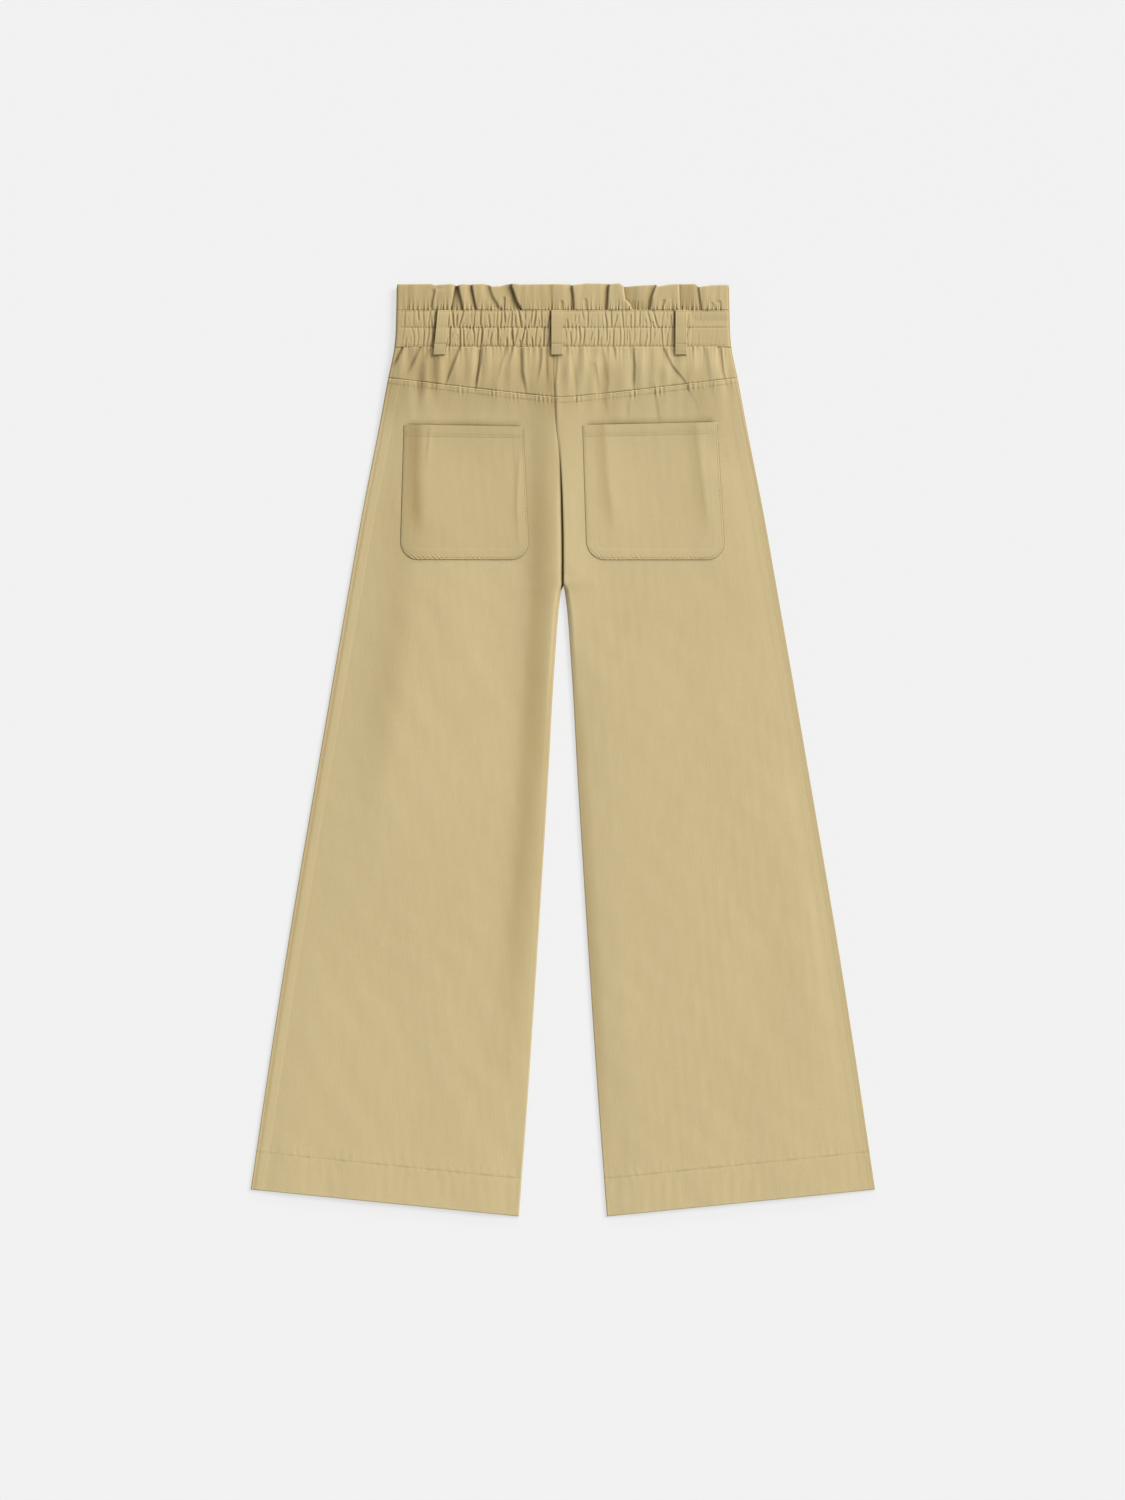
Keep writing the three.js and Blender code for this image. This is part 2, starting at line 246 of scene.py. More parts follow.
def blurred(z: Field, reach: int) -> Field:
    """Mean over a square of cells of a grid, reach cells to each side."""
    for axis in (0, 1):
        ends = [(reach + 1, reach) if a == axis else (0, 0) for a in (0, 1)]
        run = np.cumsum(np.pad(z, ends, mode="edge"), axis=axis)
        size, width = z.shape[axis], 2 * reach + 1
        first = np.take(run, range(width, width + size), axis=axis)
        z = (first - np.take(run, range(size), axis=axis)) / width
    return z


def hollow_shade(z: Field, reach: int, strength: float) -> Field:
    """Painted shade in the hollows of a grid of heights, and a little painted light on its crests."""
    return np.clip(strength * (blurred(z, reach) - z), -0.12, 0.6)


def edge_offsets(stack: float) -> Field:
    """Distances of an upper piece's outermost columns from a side fold that is stack high."""
    angles = np.radians(np.linspace(36, 90, 8))
    return stack / 2 * (1.0 - np.cos(angles))


def spaced(stops: tuple, counts: tuple) -> Field:
    """Levels from the first stop to the last, with the given count of steps from each stop to the next."""
    runs = [np.linspace(a, b, steps + 1)[:-1] for a, b, steps in zip(stops, stops[1:], counts)]
    return np.concatenate([*runs, stops[-1:]])


def stacked(x: Field, y: Field, z: Field) -> Field:
    """Points of a grid from their coordinates."""
    return np.stack(np.broadcast_arrays(x, y, z), -1).astype(float)


# ---------------------------------------------------------------- the trousers' form


def level(node: str, high: bool) -> float:
    """Highest or lowest y of a node, in millimetres."""
    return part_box(node)[1 if high else 0].y / MM


# The side fold, the inseam fold and the centre back seam.
SIDE_EDGE = (
    Station(501, 178.5), Station(472, 179), Station(433, 181), Station(398, 188), Station(355, 196),
    Station(258, 215), Station(162, 232), Station(-32, 265.5), Station(-225, 298), Station(-354, 318),
    Station(-472, 335.4),
)

INSEAM_EDGE = (
    Station(180, 0.4), Station(162, 3.2), Station(97, 8.6), Station(-32, 16), Station(-225, 28),
    Station(-354, 36.5), Station(-501, 47.3),
)

CENTRE_SEAM = (
    Station(432.7, -9.9), Station(400, -9.6), Station(375, -8.6), Station(350, -7.0), Station(317, -3.6),
    Station(273, -0.8), Station(232, 0.5), Station(150, 0.6),
)


@dataclass(frozen=True)
class Outline:
    """Seams and edges of the trousers as they lie, and the height of the cloth folded over on itself."""

    frill_top: float = level("frill_back", True)
    band_top: float = level("waistband_back", True) + HALF_GAP
    band_foot: float = level("waistband_back", False) - HALF_GAP
    hem_inner: float = level("front_leg_left", False)
    band_stitch: float = 453.6
    crotch: float = 180.0
    hem_side: float = -472.0
    hem_depth: float = 43.0
    hem_row: float = 1.5
    yoke_point: float = 378.5
    yoke_rise: float = 21.5
    yoke_half: float = 188.0
    yoke_row: float = 5.6
    leg_stack: float = 3.1
    band_stack: float = 7.1
    stack_fade: float = 300.0

    def band_rows(self) -> tuple:
        """Levels of the band's rows of stitching."""
        return self.band_top - 1.4, self.band_stitch, self.band_foot + 1.8

    def hem_middle(self) -> float:
        """Level of the hem at the middle of a leg."""
        return (self.hem_inner + self.hem_side) / 2

    def hem_tilt(self, y: float) -> float:
        """How far a leg's row at y follows the slant of the hem: 0 at the crotch and 1 at the hem."""
        return float(ease((self.crotch - y) / (self.crotch - self.hem_inner)))

    def side(self, y: Field) -> Field:
        """Distance of the side fold from the centre line."""
        return edge_at(SIDE_EDGE, y)

    def from_side(self, x: Field, y: Field) -> Field:
        """Distance in from the side fold."""
        return self.side(y) - np.abs(x)

    def inseam(self, y: Field) -> Field:
        """Distance of the inseam fold from the centre line."""
        return edge_at(INSEAM_EDGE, y)

    def hem(self, x: Field) -> Field:
        """Level of the slanted hem."""
        inner, outer = INSEAM_EDGE[-1].x, SIDE_EDGE[-1].x
        share = np.clip((np.abs(x) - inner) / (outer - inner), 0.0, 1.0)
        return mix(self.hem_inner, self.hem_side, share)

    def yoke(self, x: Field) -> Field:
        """Level of the yoke seam, lowest at the centre back."""
        return self.yoke_point + self.yoke_rise * (np.abs(x) / self.yoke_half) ** 1.1

    def centre(self, y: Field) -> Field:
        """Place of the centre back seam, which leans to the wearer's left near the band."""
        return edge_at(CENTRE_SEAM, y)

    def stack(self, y: Field) -> Field:
        """Height of the folded cloth at its side folds."""
        share = (y - self.stack_fade) / (self.band_foot - self.stack_fade)
        return mix(self.leg_stack, self.band_stack, ease(share))

    def forked(self, y: Field) -> Field:
        """0 above the crotch and 1 below it, where each leg has its own inseam fold."""
        return ease((self.crotch - 1.0 - y) / 15.0)


GATHERS = (
    Crease(((-170, 437), (-179, 422), (-187, 406)), 2.2, 1.0, 5, 7, 1.0),
    Crease(((-151, 437), (-159, 420), (-170, 398)), 1.5, 1.0, 6, 8, 1.8),
    Crease(((-139, 437), (-153, 416), (-154, 392), (-160, 352)), 1.5, 0.8, 10, 14, 5.0),
    Crease(((-108, 440), (-118, 413), (-129, 384)), 2.4, 1.8, 7, 13, 1.1, 0.35),
    Crease(((-86, 442), (-89, 415), (-95, 378)), 3.2, 2.0, 6, 14, 0.8, 0.35),
    Crease(((-60, 437), (-68, 412), (-72, 390)), 1.7, 1.0, 7, 9, 2.4),
    Crease(((-53, 438), (-56, 424), (-59, 410)), 1.7, 0.6, 4, 5, 1.2),
    Crease(((-45, 437), (-44, 405), (-38, 370)), 2.6, 1.6, 7, 10, 1.8),
    Crease(((-22, 437), (-25, 412), (-29, 388)), 1.9, 0.9, 5, 6, 1.4),
    Crease(((-17, 434), (-17, 410), (-16, 386)), 1.1, 0.6, 2.5, 4, 1.1),
    Crease(((8, 430), (12, 405), (16, 370)), 1.0, 0.8, 7, 9, 2.6),
    Crease(((34, 414), (37, 395), (38, 378)), 1.2, 0.5, 5, 6, 1.8),
    Crease(((42, 428), (47, 395), (44, 377), (49, 350)), 1.1, 0.9, 8, 11, 2.6),
    Crease(((54, 438), (56, 426), (56, 414)), 1.7, 0.5, 3, 4, 1.1),
    Crease(((74, 442), (77, 412), (76, 382)), 2.1, 1.2, 5, 13, 0.7, 0.3),
    Crease(((103, 440), (116, 413), (130, 396), (148, 360)), 1.5, 1.2, 7, 14, 1.3, 0.7),
    Crease(((150, 438), (156, 402), (161, 366)), 0.8, 0.6, 8, 9, 2.6),
    Crease(((168, 440), (172, 405), (179, 380)), 1.4, 0.9, 4, 7, 0.9),
    Crease(((96, 392), (100, 370), (104, 342)), 0.9, 0.6, 6, 8, 2.4),
    Crease(((70, 384), (69, 365), (69, 350)), 0.8, 0.5, 6, 7, 2.2),
    Crease(((-5, 430), (-9, 395), (-8, 345), (-4, 320)), 1.8, 0.6, 9, 5, 1.6),
)

ROLLS = (
    Roll(((-140, 345), (-150, 230), (-158, 150), (-192, -78), (-222, -260)), 3.3, 30, 95),
    Roll(((-8, 445), (-9, 300), (-9, 180), (-18, 0)), 3.6, 22, 36),
    Roll(((-2, 240), (-12, 150), (-20, 60), (-29, -60), (-42, -225), (-54, -440)), 1.2, 24, 14),
    Roll(((16, 230), (22, 120), (32, -32), (44, -225), (58, -480)), 0.9, 13, 120),
    Roll(((150, 330), (158, 240), (172, 140)), 0.8, 16, 40),
    Roll(((100, 150), (130, -60), (170, -420)), 0.8, 60, 80),
    Roll(((232, 20), (262, -180), (292, -440)), 0.7, 26, 26),
    Roll(((-90, 60), (-120, -150), (-150, -440)), 0.7, 40, 60),
)

# Painted shadows that the belt loops cast on the band and the yoke, along the loops' left edges.
LOOP_SHADES = (
    Roll(((-134.6, 486), (-135.0, 470), (-139.6, 420)), 1.0, 1.6, 1.2),
    Roll(((-12.8, 486), (-12.8, 470), (-12.8, 420)), 1.0, 1.6, 1.2),
    Roll(((120.4, 486), (120.4, 470), (120.0, 420)), 1.0, 1.6, 1.2),
)

# Bands of painted shade where the cloth would lie in shadow: beside the inseams and side folds, along folds
# below the band, down the centre back seam and beside the belt loops.
SHADES = (
    Roll(((-23, 420), (-28, 300), (-27, 162), (-38, -20), (-52, -220), (-62, -420)), 0.35, 12, 22),
    Roll(((-180, 340), (-176, 162), (-196, 0), (-206, -90)), 0.14, 22, 18),
    Roll(((6, 130), (9, 97), (19, -32), (31, -225), (50, -560)), 0.22, 5, 8),
    Roll(((-234, 190), (-262, -10), (-300, -225), (-330, -420)), 0.10, 12, 9),
    Roll(((-144, 432), (-145, 405), (-148, 376)), 0.24, 10, 13),
    Roll(((52, 420), (52, 380), (58, 335)), 0.14, 16, 8),
    Roll(((135, 420), (150, 385), (160, 320)), 0.12, 14, 10),
    Roll(((-12, 440), (-12, 400), (-10, 340)), 0.26, 9, 4),
    Roll(((-4, 345), (-0.6, 273), (0.3, 232), (0.4, 60)), 1.5, 1.8, 0.6),
    Roll(((-168, 440), (-174, 428), (-184, 408)), 0.75, 1.0, 2.0),
    Roll(((-150, 440), (-159, 420), (-168, 400)), 0.35, 2.0, 4.0),
    *LOOP_SHADES,
)


class Mouth(NamedTuple):
    """A pocket mouth: its ends as (x, y) on the left and on the right, and the x where the painted shade
    above it is deepest.
    """

    x0: float
    y0: float
    x1: float
    y1: float
    dark: float

    def above(self, x: Field, y: Field) -> Field:
        """Distance above the mouth's edge."""
        return y - mix(self.y0, self.y1, (x - self.x0) / (self.x1 - self.x0))


MOUTHS = (Mouth(-171, 349.6, -42, 347.4, -100), Mouth(21, 348.9, 166, 352.1, 66))


@dataclass(frozen=True)
class BackForm:
    """Height of the back's upper face, from the band's seam to the hems."""

    outline: Outline
    gather_rise: float = 2.6
    gather_edge: float = 26.0
    least: float = 2.4
    fold_depth: float = 0.62
    side_line: float = 3.6

    def gathers(self, x: Field, y: Field) -> Field:
        """Height of the folds that hang from the gathered band."""
        below = self.outline.band_foot - y
        near = np.exp(-np.maximum(below, 0.0) / 8.0)
        puckers = 0.4 * near * ripples(x, y, 11, 5.0, 120.0)
        soft = 0.4 * hump(below - 20.0, 32.0) * ripples(x, y, 12, 17.0, 160.0)
        evenness = mix(1.0, 0.8, ease(x / 40.0))
        return evenness * (self.fold_depth * crease_relief(x, y, GATHERS) + puckers + soft)

    def seams(self, x: Field, y: Field) -> Field:
        """Grooves and ridges along the yoke seam and the centre back seam."""
        outline = self.outline
        above = y - outline.yoke(x)
        felled = 0.2 * ease(-above / 1.2) * ease((above + 7.5) / 1.5)
        rows = -0.4 * bell(above + 0.2, 0.7, 0.6) - 0.28 * hump(above + outline.yoke_row, 0.7)
        tight = np.clip(0.4 + 0.5 * ripples(x, 0.0 * y, 22, 30.0, 900.0), 0.0, 1.3)
        puckers = 0.36 * tight * hump(above + 4.0, 4.5) * ripples(x, y, 21, 3.6, 60.0)
        waist = ease((y - outline.crotch + 8.0) / 12.0)
        right_of = x - outline.centre(y)
        low = ease((310.0 - y) / 60.0)
        step = mix(0.2, 1.1, low) * ease((right_of + 0.4) / 0.8) * np.exp(-np.maximum(right_of, 0) / 14.0)
        groove = -mix(0.3, 1.9, low) * bell(right_of + 0.5, mix(1.0, 3.0, low), 0.9)
        return felled + rows + puckers + waist * (step + groove)

    def hems(self, x: Field, y: Field) -> Field:
        """Step and stitching of the turned-up hem, and its rounded lower edge."""
        outline = self.outline
        up = y - outline.hem(x)
        turned = 0.07 * ease((outline.hem_depth + 1.0 - up) / 2.0)
        row = -0.2 * hump(up - outline.hem_depth + outline.hem_row, 0.7)
        pull = 0.05 * hump(up - outline.hem_depth, 7.0) * ripples(x, y, 31, 7.0, 30.0)
        slack = 0.035 * ease((outline.hem_depth - up) / 12.0) * ripples(x, y, 32, 15.0, 120.0)
        return turned + row + pull + slack - round_off(up, 1.5)

    def side_seams(self, x: Field, from_side: Field) -> Field:
        """Faint line of each side seam and the pressed edge of its allowance."""
        shown = np.where(x < 0, 1.0, 0.4)
        past = from_side - self.side_line
        line = -0.42 * hump(past, 0.6) - 0.12 * hump(from_side - 5.0, 2.0)
        return shown * (line + 0.22 * ease((14.5 - from_side) / 1.6) * ease(past / 3.0))

    def mouths(self, x: Field, y: Field) -> Field:
        """Sag of the cloth behind the pocket mouths."""
        total = np.zeros(np.broadcast(x, y).shape)
        for mouth in MOUTHS:
            within = ease((x - mouth.x0 - 2.0) / 9.0) * ease((mouth.x1 - 2.0 - x) / 9.0)
            above = mouth.above(x, y)
            total -= 0.6 * within * bell(above, 30.0, 5.0)
        return total

    def shade(self, x: Field, y: Field) -> Field:
        """Painted shade near the cloth's folds, pocket mouths, seams, hems and side folds, and over the
        gathered waist.
        """
        outline = self.outline
        shade = roll_relief(x, y, SHADES)
        # Painted shade above each pocket mouth, and a painted shadow line along its edge.
        for mouth in MOUTHS:
            within = ease((x - mouth.x0) / 8.0) * ease((mouth.x1 - x) / 8.0)
            above = mouth.above(x, y)
            mouth_shade_spread = 0.35 + 0.9 * hump(x - mouth.dark, 24.0)
            shade += 0.19 * within * mouth_shade_spread * bell(above, 2.0, 4.5)
            shade += 0.6 * within * hump(above, 1.5)
        # Painted shade over the gathered waist, deeper on the wearer's left; a painted shadow under the
        # band's foot; painted dark lines along the hem row, the side seams and the yoke seam; and painted
        # shade on the side folds, stronger on the lit right side.
        waist = ease((y - 335.0) / 60.0)
        band_foot_shadow = 0.4 * hump(outline.band_foot - y, 1.3)
        up = y - outline.hem(x) - outline.hem_depth + outline.hem_row
        row = 0.11 * bell(up, 1.2, 0.9) * np.clip(0.7 + ripples(x, 0.0 * y, 45, 26.0, 900.0), 0.1, 1.6)
        from_side = outline.from_side(x, y)
        edge = np.where(x < 0, 0.3, 0.6) * hump(from_side, 1.4)
        seam = 0.2 * ease((300.0 - y) / 80.0) * hump(from_side - np.where(x < 0, 3.8, 5.5), 0.9)
        above = y - outline.yoke(x)
        patchy = np.clip(0.8 + 0.6 * ripples(x, 0.0 * y, 46, 34.0, 900.0), 0.2, 1.7)
        yoke = patchy * (0.2 * bell(above - 0.2, 0.9, 1.0) + 0.1 * hump(above + outline.yoke_row, 0.9))
        lines = band_foot_shadow + row + edge + seam + yoke
        return shade + lines + waist * mix(0.25, 0.10, ease((x + 50.0) / 110.0))

    def height(self, x: Field, y: Field, sagging: bool = True) -> Field:
        """Height of the upper face.

        Args:
            x: place across.
            y: place along.
            sagging: whether the cloth sags behind the pocket mouths.

        Returns:
            Height at each place.
        """
        outline = self.outline
        from_side = outline.from_side(x, y)
        from_fork = np.abs(x) - outline.inseam(y) + 60.0 * ease((y - 168.0) / 70.0)
        inside = ease(from_side / self.gather_edge)
        above_fade = outline.stack_fade + 20.0
        full = inside * ease((y - above_fade) / (outline.band_foot - above_fade))
        puff = mix(0.6, 1.0, ease((outline.band_foot - y) / 24.0))
        calm = ease((from_side - 3.0) / 9.0)
        settled = ease((from_side - 3.0) / 24.0) * ease((from_fork + 2.0) / 8.0)
        pillow = 1.3 * ease(from_side / 50.0) * ease(from_fork / 40.0)
        uneven = 0.12 * ripples(x, y, 41, 75.0, 330.0) + 0.022 * ripples(x, y, 42, 15.0, 110.0)
        uneven = uneven + 0.035 * ripples(x, y, 44, 42.0, 55.0)
        z = outline.stack(y) + self.gather_rise * full * puff + calm * self.gathers(x, y)
        z += settled * (pillow + roll_relief(x, y, ROLLS) + uneven)
        z += self.side_seams(x, from_side) + self.seams(x, y) + self.hems(x, y)
        if sagging:
            z += self.mouths(x, y)
        return np.maximum(z, self.least)


# ---------------------------------------------------------------- cloth shells


class Cut(NamedTuple):
    """How a piece is cut and held: its flat size, the share of it that is cloth, and what it lies on."""

    flat: tuple
    area: float
    held: str
    rests_on: tuple = ()


def placed(name: str, data: object) -> Object:
    """Adds an object to the scene at the origin."""
    made = bpy.data.objects.new(name, data)
    bpy.context.scene.collection.objects.link(made)
    return made


def boundary(grid: Field) -> list[int]:
    """Indices round the border of a grid."""
    return np.concatenate([grid[0, :-1], grid[:-1, -1], grid[-1, :0:-1], grid[:0:-1, 0]]).tolist()


@dataclass
class Shell:
    """A closed piece of cloth from two grids of points that share their edges' order.

    The outer grid is fine. The hidden one takes every step-th row and column, and each stretch of
    the rim joins the two. cloth holds each point's place on the flat cloth.
    """

    node: str
    outer: Field
    inner: Field
    cloth: Field
    shade: Field
    step: int = 3
    crisp: float = 62.0

    def picks(self) -> tuple[list, list]:
        """Rows and columns that the hidden grid keeps."""
        rows, columns = self.outer.shape[:2]
        return [*range(0, rows - 1, self.step), rows - 1], [*range(0, columns - 1, self.step), columns - 1]

    def faces(self) -> list:
        """Faces over both grids and the rim."""
        rows, columns = self.picks()
        fine = np.arange(self.outer[..., 0].size).reshape(self.outer.shape[:2])
        coarse = np.arange(len(rows) * len(columns)).reshape(len(rows), len(columns)) + fine.size
        front = np.stack([fine[:-1, :-1], fine[:-1, 1:], fine[1:, 1:], fine[1:, :-1]], -1)
        back = np.stack([coarse[:-1, :-1], coarse[1:, :-1], coarse[1:, 1:], coarse[:-1, 1:]], -1)
        faces = front.reshape(-1, 4).tolist() + back.reshape(-1, 4).tolist()
        twin = dict(zip(fine[np.ix_(rows, columns)].ravel().tolist(), coarse.ravel().tolist()))
        loop = boundary(fine)
        marks = [k for k, point in enumerate(loop) if point in twin]
        for start, end in zip(marks, [*marks[1:], len(loop) + marks[0]]):
            stretch = [loop[k % len(loop)] for k in range(start, end + 1)]
            faces.append([*reversed(stretch), twin[stretch[0]], twin[stretch[-1]]])
        return faces

    def mesh(self, name: str) -> Mesh:
        """The piece's mesh, with its cloth coordinates and its painted shade."""
        faces = self.faces()
        kept = np.ix_(*self.picks())
        hidden = self.inner[kept].reshape(-1, 3)
        points = np.concatenate([self.outer.reshape(-1, 3), hidden]) * MM
        corner = self.outer[:-1, :-1]
        across = np.cross(self.outer[1:, :-1] - corner, self.outer[:-1, 1:] - corner)
        if np.sum(across * (corner - self.inner[:-1, :-1])) > 0:
            faces = [face[::-1] for face in faces]
        mesh = bpy.data.meshes.new(name)
        mesh.from_pydata(points.tolist(), [], faces)
        cloth = np.concatenate([self.cloth.reshape(-1, 2), self.cloth[kept].reshape(-1, 2)])
        corners = np.zeros(len(mesh.loops), np.int32)
        mesh.loops.foreach_get("vertex_index", corners)
        layer = mesh.uv_layers.new(name="cloth")
        layer.data.foreach_set("uv", (cloth[corners] * MM).astype(np.float32).ravel())
        # Painted shade: each outer point's darkening, which the twill's colour reads; the hidden points get
        # none.
        painted_shade_layer = mesh.attributes.new("shade", "FLOAT", "POINT")
        values = np.concatenate([self.shade.ravel(), np.zeros(len(hidden))])
        painted_shade_layer.data.foreach_set("value", values.astype(np.float32))
        mesh.shade_smooth()
        mesh.set_sharp_from_angle(angle=math.radians(self.crisp))
        return mesh

    def make(self, cut: Cut, finish: Material) -> Object:
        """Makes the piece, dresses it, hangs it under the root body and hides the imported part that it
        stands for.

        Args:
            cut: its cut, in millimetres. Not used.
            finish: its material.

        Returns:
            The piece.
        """
        name = self.node + "_cloth"
        piece = placed(name, self.mesh(name))
        piece.data.materials.append(finish)
        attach(piece, "root")
        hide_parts(self.node)
        LOG.info("%s: %d faces", name, len(piece.data.polygons))
        return piece


def upper(node: str, outer: Field, wall: float, shade: Field, step: int = 3) -> Shell:
    """A shell whose hidden face is a wall's thickness below its upper face."""
    return Shell(node, outer, outer - np.array([0.0, 0.0, wall]), outer[..., :2], shade, step)


# ---------------------------------------------------------------- back panels


@dataclass(frozen=True)
class BackPanels:
    """Back legs and back yokes, cut from the back's form."""

    outline: Outline
    form: BackForm
    wall: float = 0.8
    columns: int = 224
    yoke_steps: int = 68
    overlap: float = 1.0
    under: float = 1.1
    under_band: float = 1.9

    def opened(self, y: Field) -> Field:
        """0 where the halves meet at the centre back and 1 where each leg has its inseam fold."""
        return ease((self.outline.crotch - y + 1.0) / 12.0)

    def places(self, side: Side, y: Field) -> Field:
        """The x of each column of a panel, from the centre to the side.

        Args:
            side: which half.
            y: level at each column.

        Returns:
            Places of the columns.
        """
        outline, opened = self.outline, self.opened(y)
        centre = outline.centre(y) + (self.overlap if side is Side.LEFT else -0.2)
        inner = mix(centre, side.value * outline.inseam(y), opened)
        outer = side.value * outline.side(y)
        offsets, stack = edge_offsets(1.0), outline.stack(y)
        count = len(offsets)
        rest = np.full(self.columns + count, DENSE_REACH)
        first = np.concatenate([offsets, rest]) * stack - offsets[0] * stack * (1.0 - opened)
        last = np.concatenate([rest, offsets[::-1]]) * stack
        share = np.concatenate([np.zeros(count), np.linspace(0, 1, self.columns), np.ones(count)])
        return mix(inner + side.value * first, outer - side.value * last, share)

    def grid(self, side: Side, levels: Sequence[Callable], tuck: Callable) -> Field:
        """Points of a panel's upper face.

        Args:
            side: which half.
            levels: for each row, y as a function of x.
            tuck: depth, as a function of x and y, to which the edges pass under their neighbours.

        Returns:
            Rows of columns of points.
        """
        outline, rows = self.outline, []
        for row_level in levels:
            x = side.value * np.linspace(10.0, 180.0, self.columns + 2 * len(edge_offsets(1.0)))
            for _ in range(8):
                y = row_level(x) * np.ones_like(x)
                x = self.places(side, y)
            radius = outline.stack(y) / 2
            z = self.form.height(x, y) - tuck(x, y)
            z -= round_off(outline.from_side(x, y), radius)
            z -= self.opened(y) * round_off(np.abs(x) - outline.inseam(y), radius)
            rows.append(stacked(x, y, z))
        return np.array(rows)

    def under_centre(self, side: Side, x: Field, y: Field) -> Field:
        """Depth to which the left half passes under the right one at the centre back."""
        if side is Side.RIGHT:
            return np.zeros_like(x)
        return self.under * ease((x - self.outline.centre(y) + 0.5) / 0.7) * (1.0 - self.opened(y))

    def panel(self, node: str, outer: Field, reach: int, strength: float) -> Shell:
        """A panel, with painted shade along its folds and in its hollows."""
        shade = self.form.shade(outer[..., 0], outer[..., 1])
        return upper(node, outer, self.wall, shade + hollow_shade(outer[..., 2], reach, strength))

    def leg_levels(self) -> list[Callable[[Field], Field]]:
        """Rows of the leg, which follow the yoke seam at the top and the hem at the foot."""
        outline = self.outline
        hem = outline.hem_middle()
        top = outline.yoke_point + self.overlap
        stops = (top, top - 2.4, 205, 150, hem + 48, hem + 36, hem + 3, hem)

        def row(y: float) -> Callable[[Field], Field]:
            """Level function of the row that passes through y at the middle of the leg."""
            tilt = outline.hem_tilt(y)
            near = 1.0 - float(ease((top - 3.0 - y) / 120.0))
            point = outline.yoke_point
            return lambda x: y + tilt * (outline.hem(x) - hem) + near * (outline.yoke(x) - point)

        return [row(y) for y in spaced(stops, (6, 119, 27, 77, 12, 11, 7))]

    def leg(self, side: Side, finish: Material) -> Object:
        """One back leg."""

        def tuck(x: Field, y: Field) -> Field:
            """Depth under the yoke and under the other half."""
            under_yoke = self.under * ease((y - self.outline.yoke(x) + 0.5) / 0.8)
            return np.maximum(under_yoke, self.under_centre(side, x, y))

        outer = self.grid(side, self.leg_levels(), tuck)
        cut = Cut((292, 880), 0.84, "laid", (side.of("front_leg"),))
        return self.panel(side.of("back_leg"), outer, 5, 0.3).make(cut, finish)

    def yoke(self, side: Side, finish: Material) -> Object:
        """One half of the back yoke."""
        outline = self.outline
        high = outline.band_foot + 0.8

        def row(down: float) -> Callable[[Field], Field]:
            """Level function of a row at a share of the way from the band to the yoke seam."""
            return lambda x: mix(high, outline.yoke(x) - 0.1, down)

        def tuck(x: Field, y: Field) -> Field:
            """Depth under the band and under the other half."""
            under_band = self.under_band * ease((y - outline.band_foot + 1.4) / 2.0)
            return np.maximum(under_band, self.under_centre(side, x, y))

        shares = spaced((0.0, 0.06, 1.0), (8, self.yoke_steps))
        outer = self.grid(side, [row(down) for down in shares], tuck)
        cut = Cut((215, 56), 0.8, "gathered", (side.of("front_leg"),))
        return self.panel(side.of("back_yoke"), outer, 4, 0.4).make(cut, finish)


# ---------------------------------------------------------------- gathered waist


class Pull(NamedTuple):
    """A deep valley of the band, where its gathers are drawn tightest."""

    x: float
    depth: float
    lean: float

UPPER_PULLS = (
    Pull(-118, 1.3, -0.8), Pull(-109, 1.2, 2.6), Pull(-88.5, 1.2, 0.4), Pull(-46, 1.3, -1.5),
    Pull(-30, 1.2, 1.0), Pull(46, 1.4, -1.4), Pull(64, 1.2, -0.8), Pull(99, 1.2, -2.2),
)

LOWER_PULLS = (
    Pull(-149.5, 1.2, 0.8), Pull(-139.5, 1.3, 0.6), Pull(-121.5, 1.4, 0.2), Pull(-110.5, 1.6, 0.2),
    Pull(-87, 1.8, 0.9), Pull(-70, 1.5, 0.2), Pull(-54, 1.8, -0.8), Pull(-43, 1.4, 2.2),
    Pull(-20.5, 1.5, 0.2), Pull(22.5, 1.5, 1.0), Pull(37.5, 1.4, 0.4), Pull(54, 1.4, 0.3),
    Pull(65.5, 1.2, 0.2), Pull(106, 1.3, -0.5),
)


@dataclass(frozen=True)
class Channel:
    """One elastic channel of the band, with uneven gathers between its rows of stitching."""

    high: float
    low: float
    seed: int
    pulls: tuple

    def valleys(self, reach: float) -> list[tuple]:
        """Place, depth, lean, bow and the levels of the ends of each valley of the gathers."""
        rng = np.random.default_rng(self.seed)
        found, x = [], -reach
        while x < reach:
            x += rng.uniform(2.7, 6.4)
            start = rng.choice([-0.4, 0.1, 0.3], p=[0.6, 0.2, 0.2])
            end = rng.choice([1.4, 0.9, 0.6], p=[0.6, 0.2, 0.2])
            values = (rng.uniform(0.45, 1.25), rng.normal(0.0, 0.9), rng.normal(0.0, 0.5))
            if all(abs(x - pull.x) > 1.9 for pull in self.pulls):
                found.append((x, *values, start, end))
        return found + [(pull.x, pull.depth, pull.lean, 0.3, -0.4, 1.4) for pull in self.pulls]

    def relief(self, x: Field, y: float, reach: float) -> Field:
        """Height of the gathers along a row at y."""
        up = (y - self.low) / (self.high - self.low)
        bulge = math.sin(math.pi * min(max(up, 0.0), 1.0)) ** 0.6
        z = np.full(np.shape(x), 0.75 * bulge)
        for place, depth, lean, bow, start, end in self.valleys(reach):
            shown = float(ease((up - start) / 0.3) * ease((end - up) / 0.3))
            off = x - place - lean * (2.0 * up - 1.0) - bow * math.sin(math.pi * up)
            valley = depth * bell(off, 0.85 + 0.35 * depth, 0.75)
            z = z + shown * mix(0.35, 1.0, bulge) * (0.3 * depth * bell(off - 1.5, 0.7, 1.8) - valley)
        return z


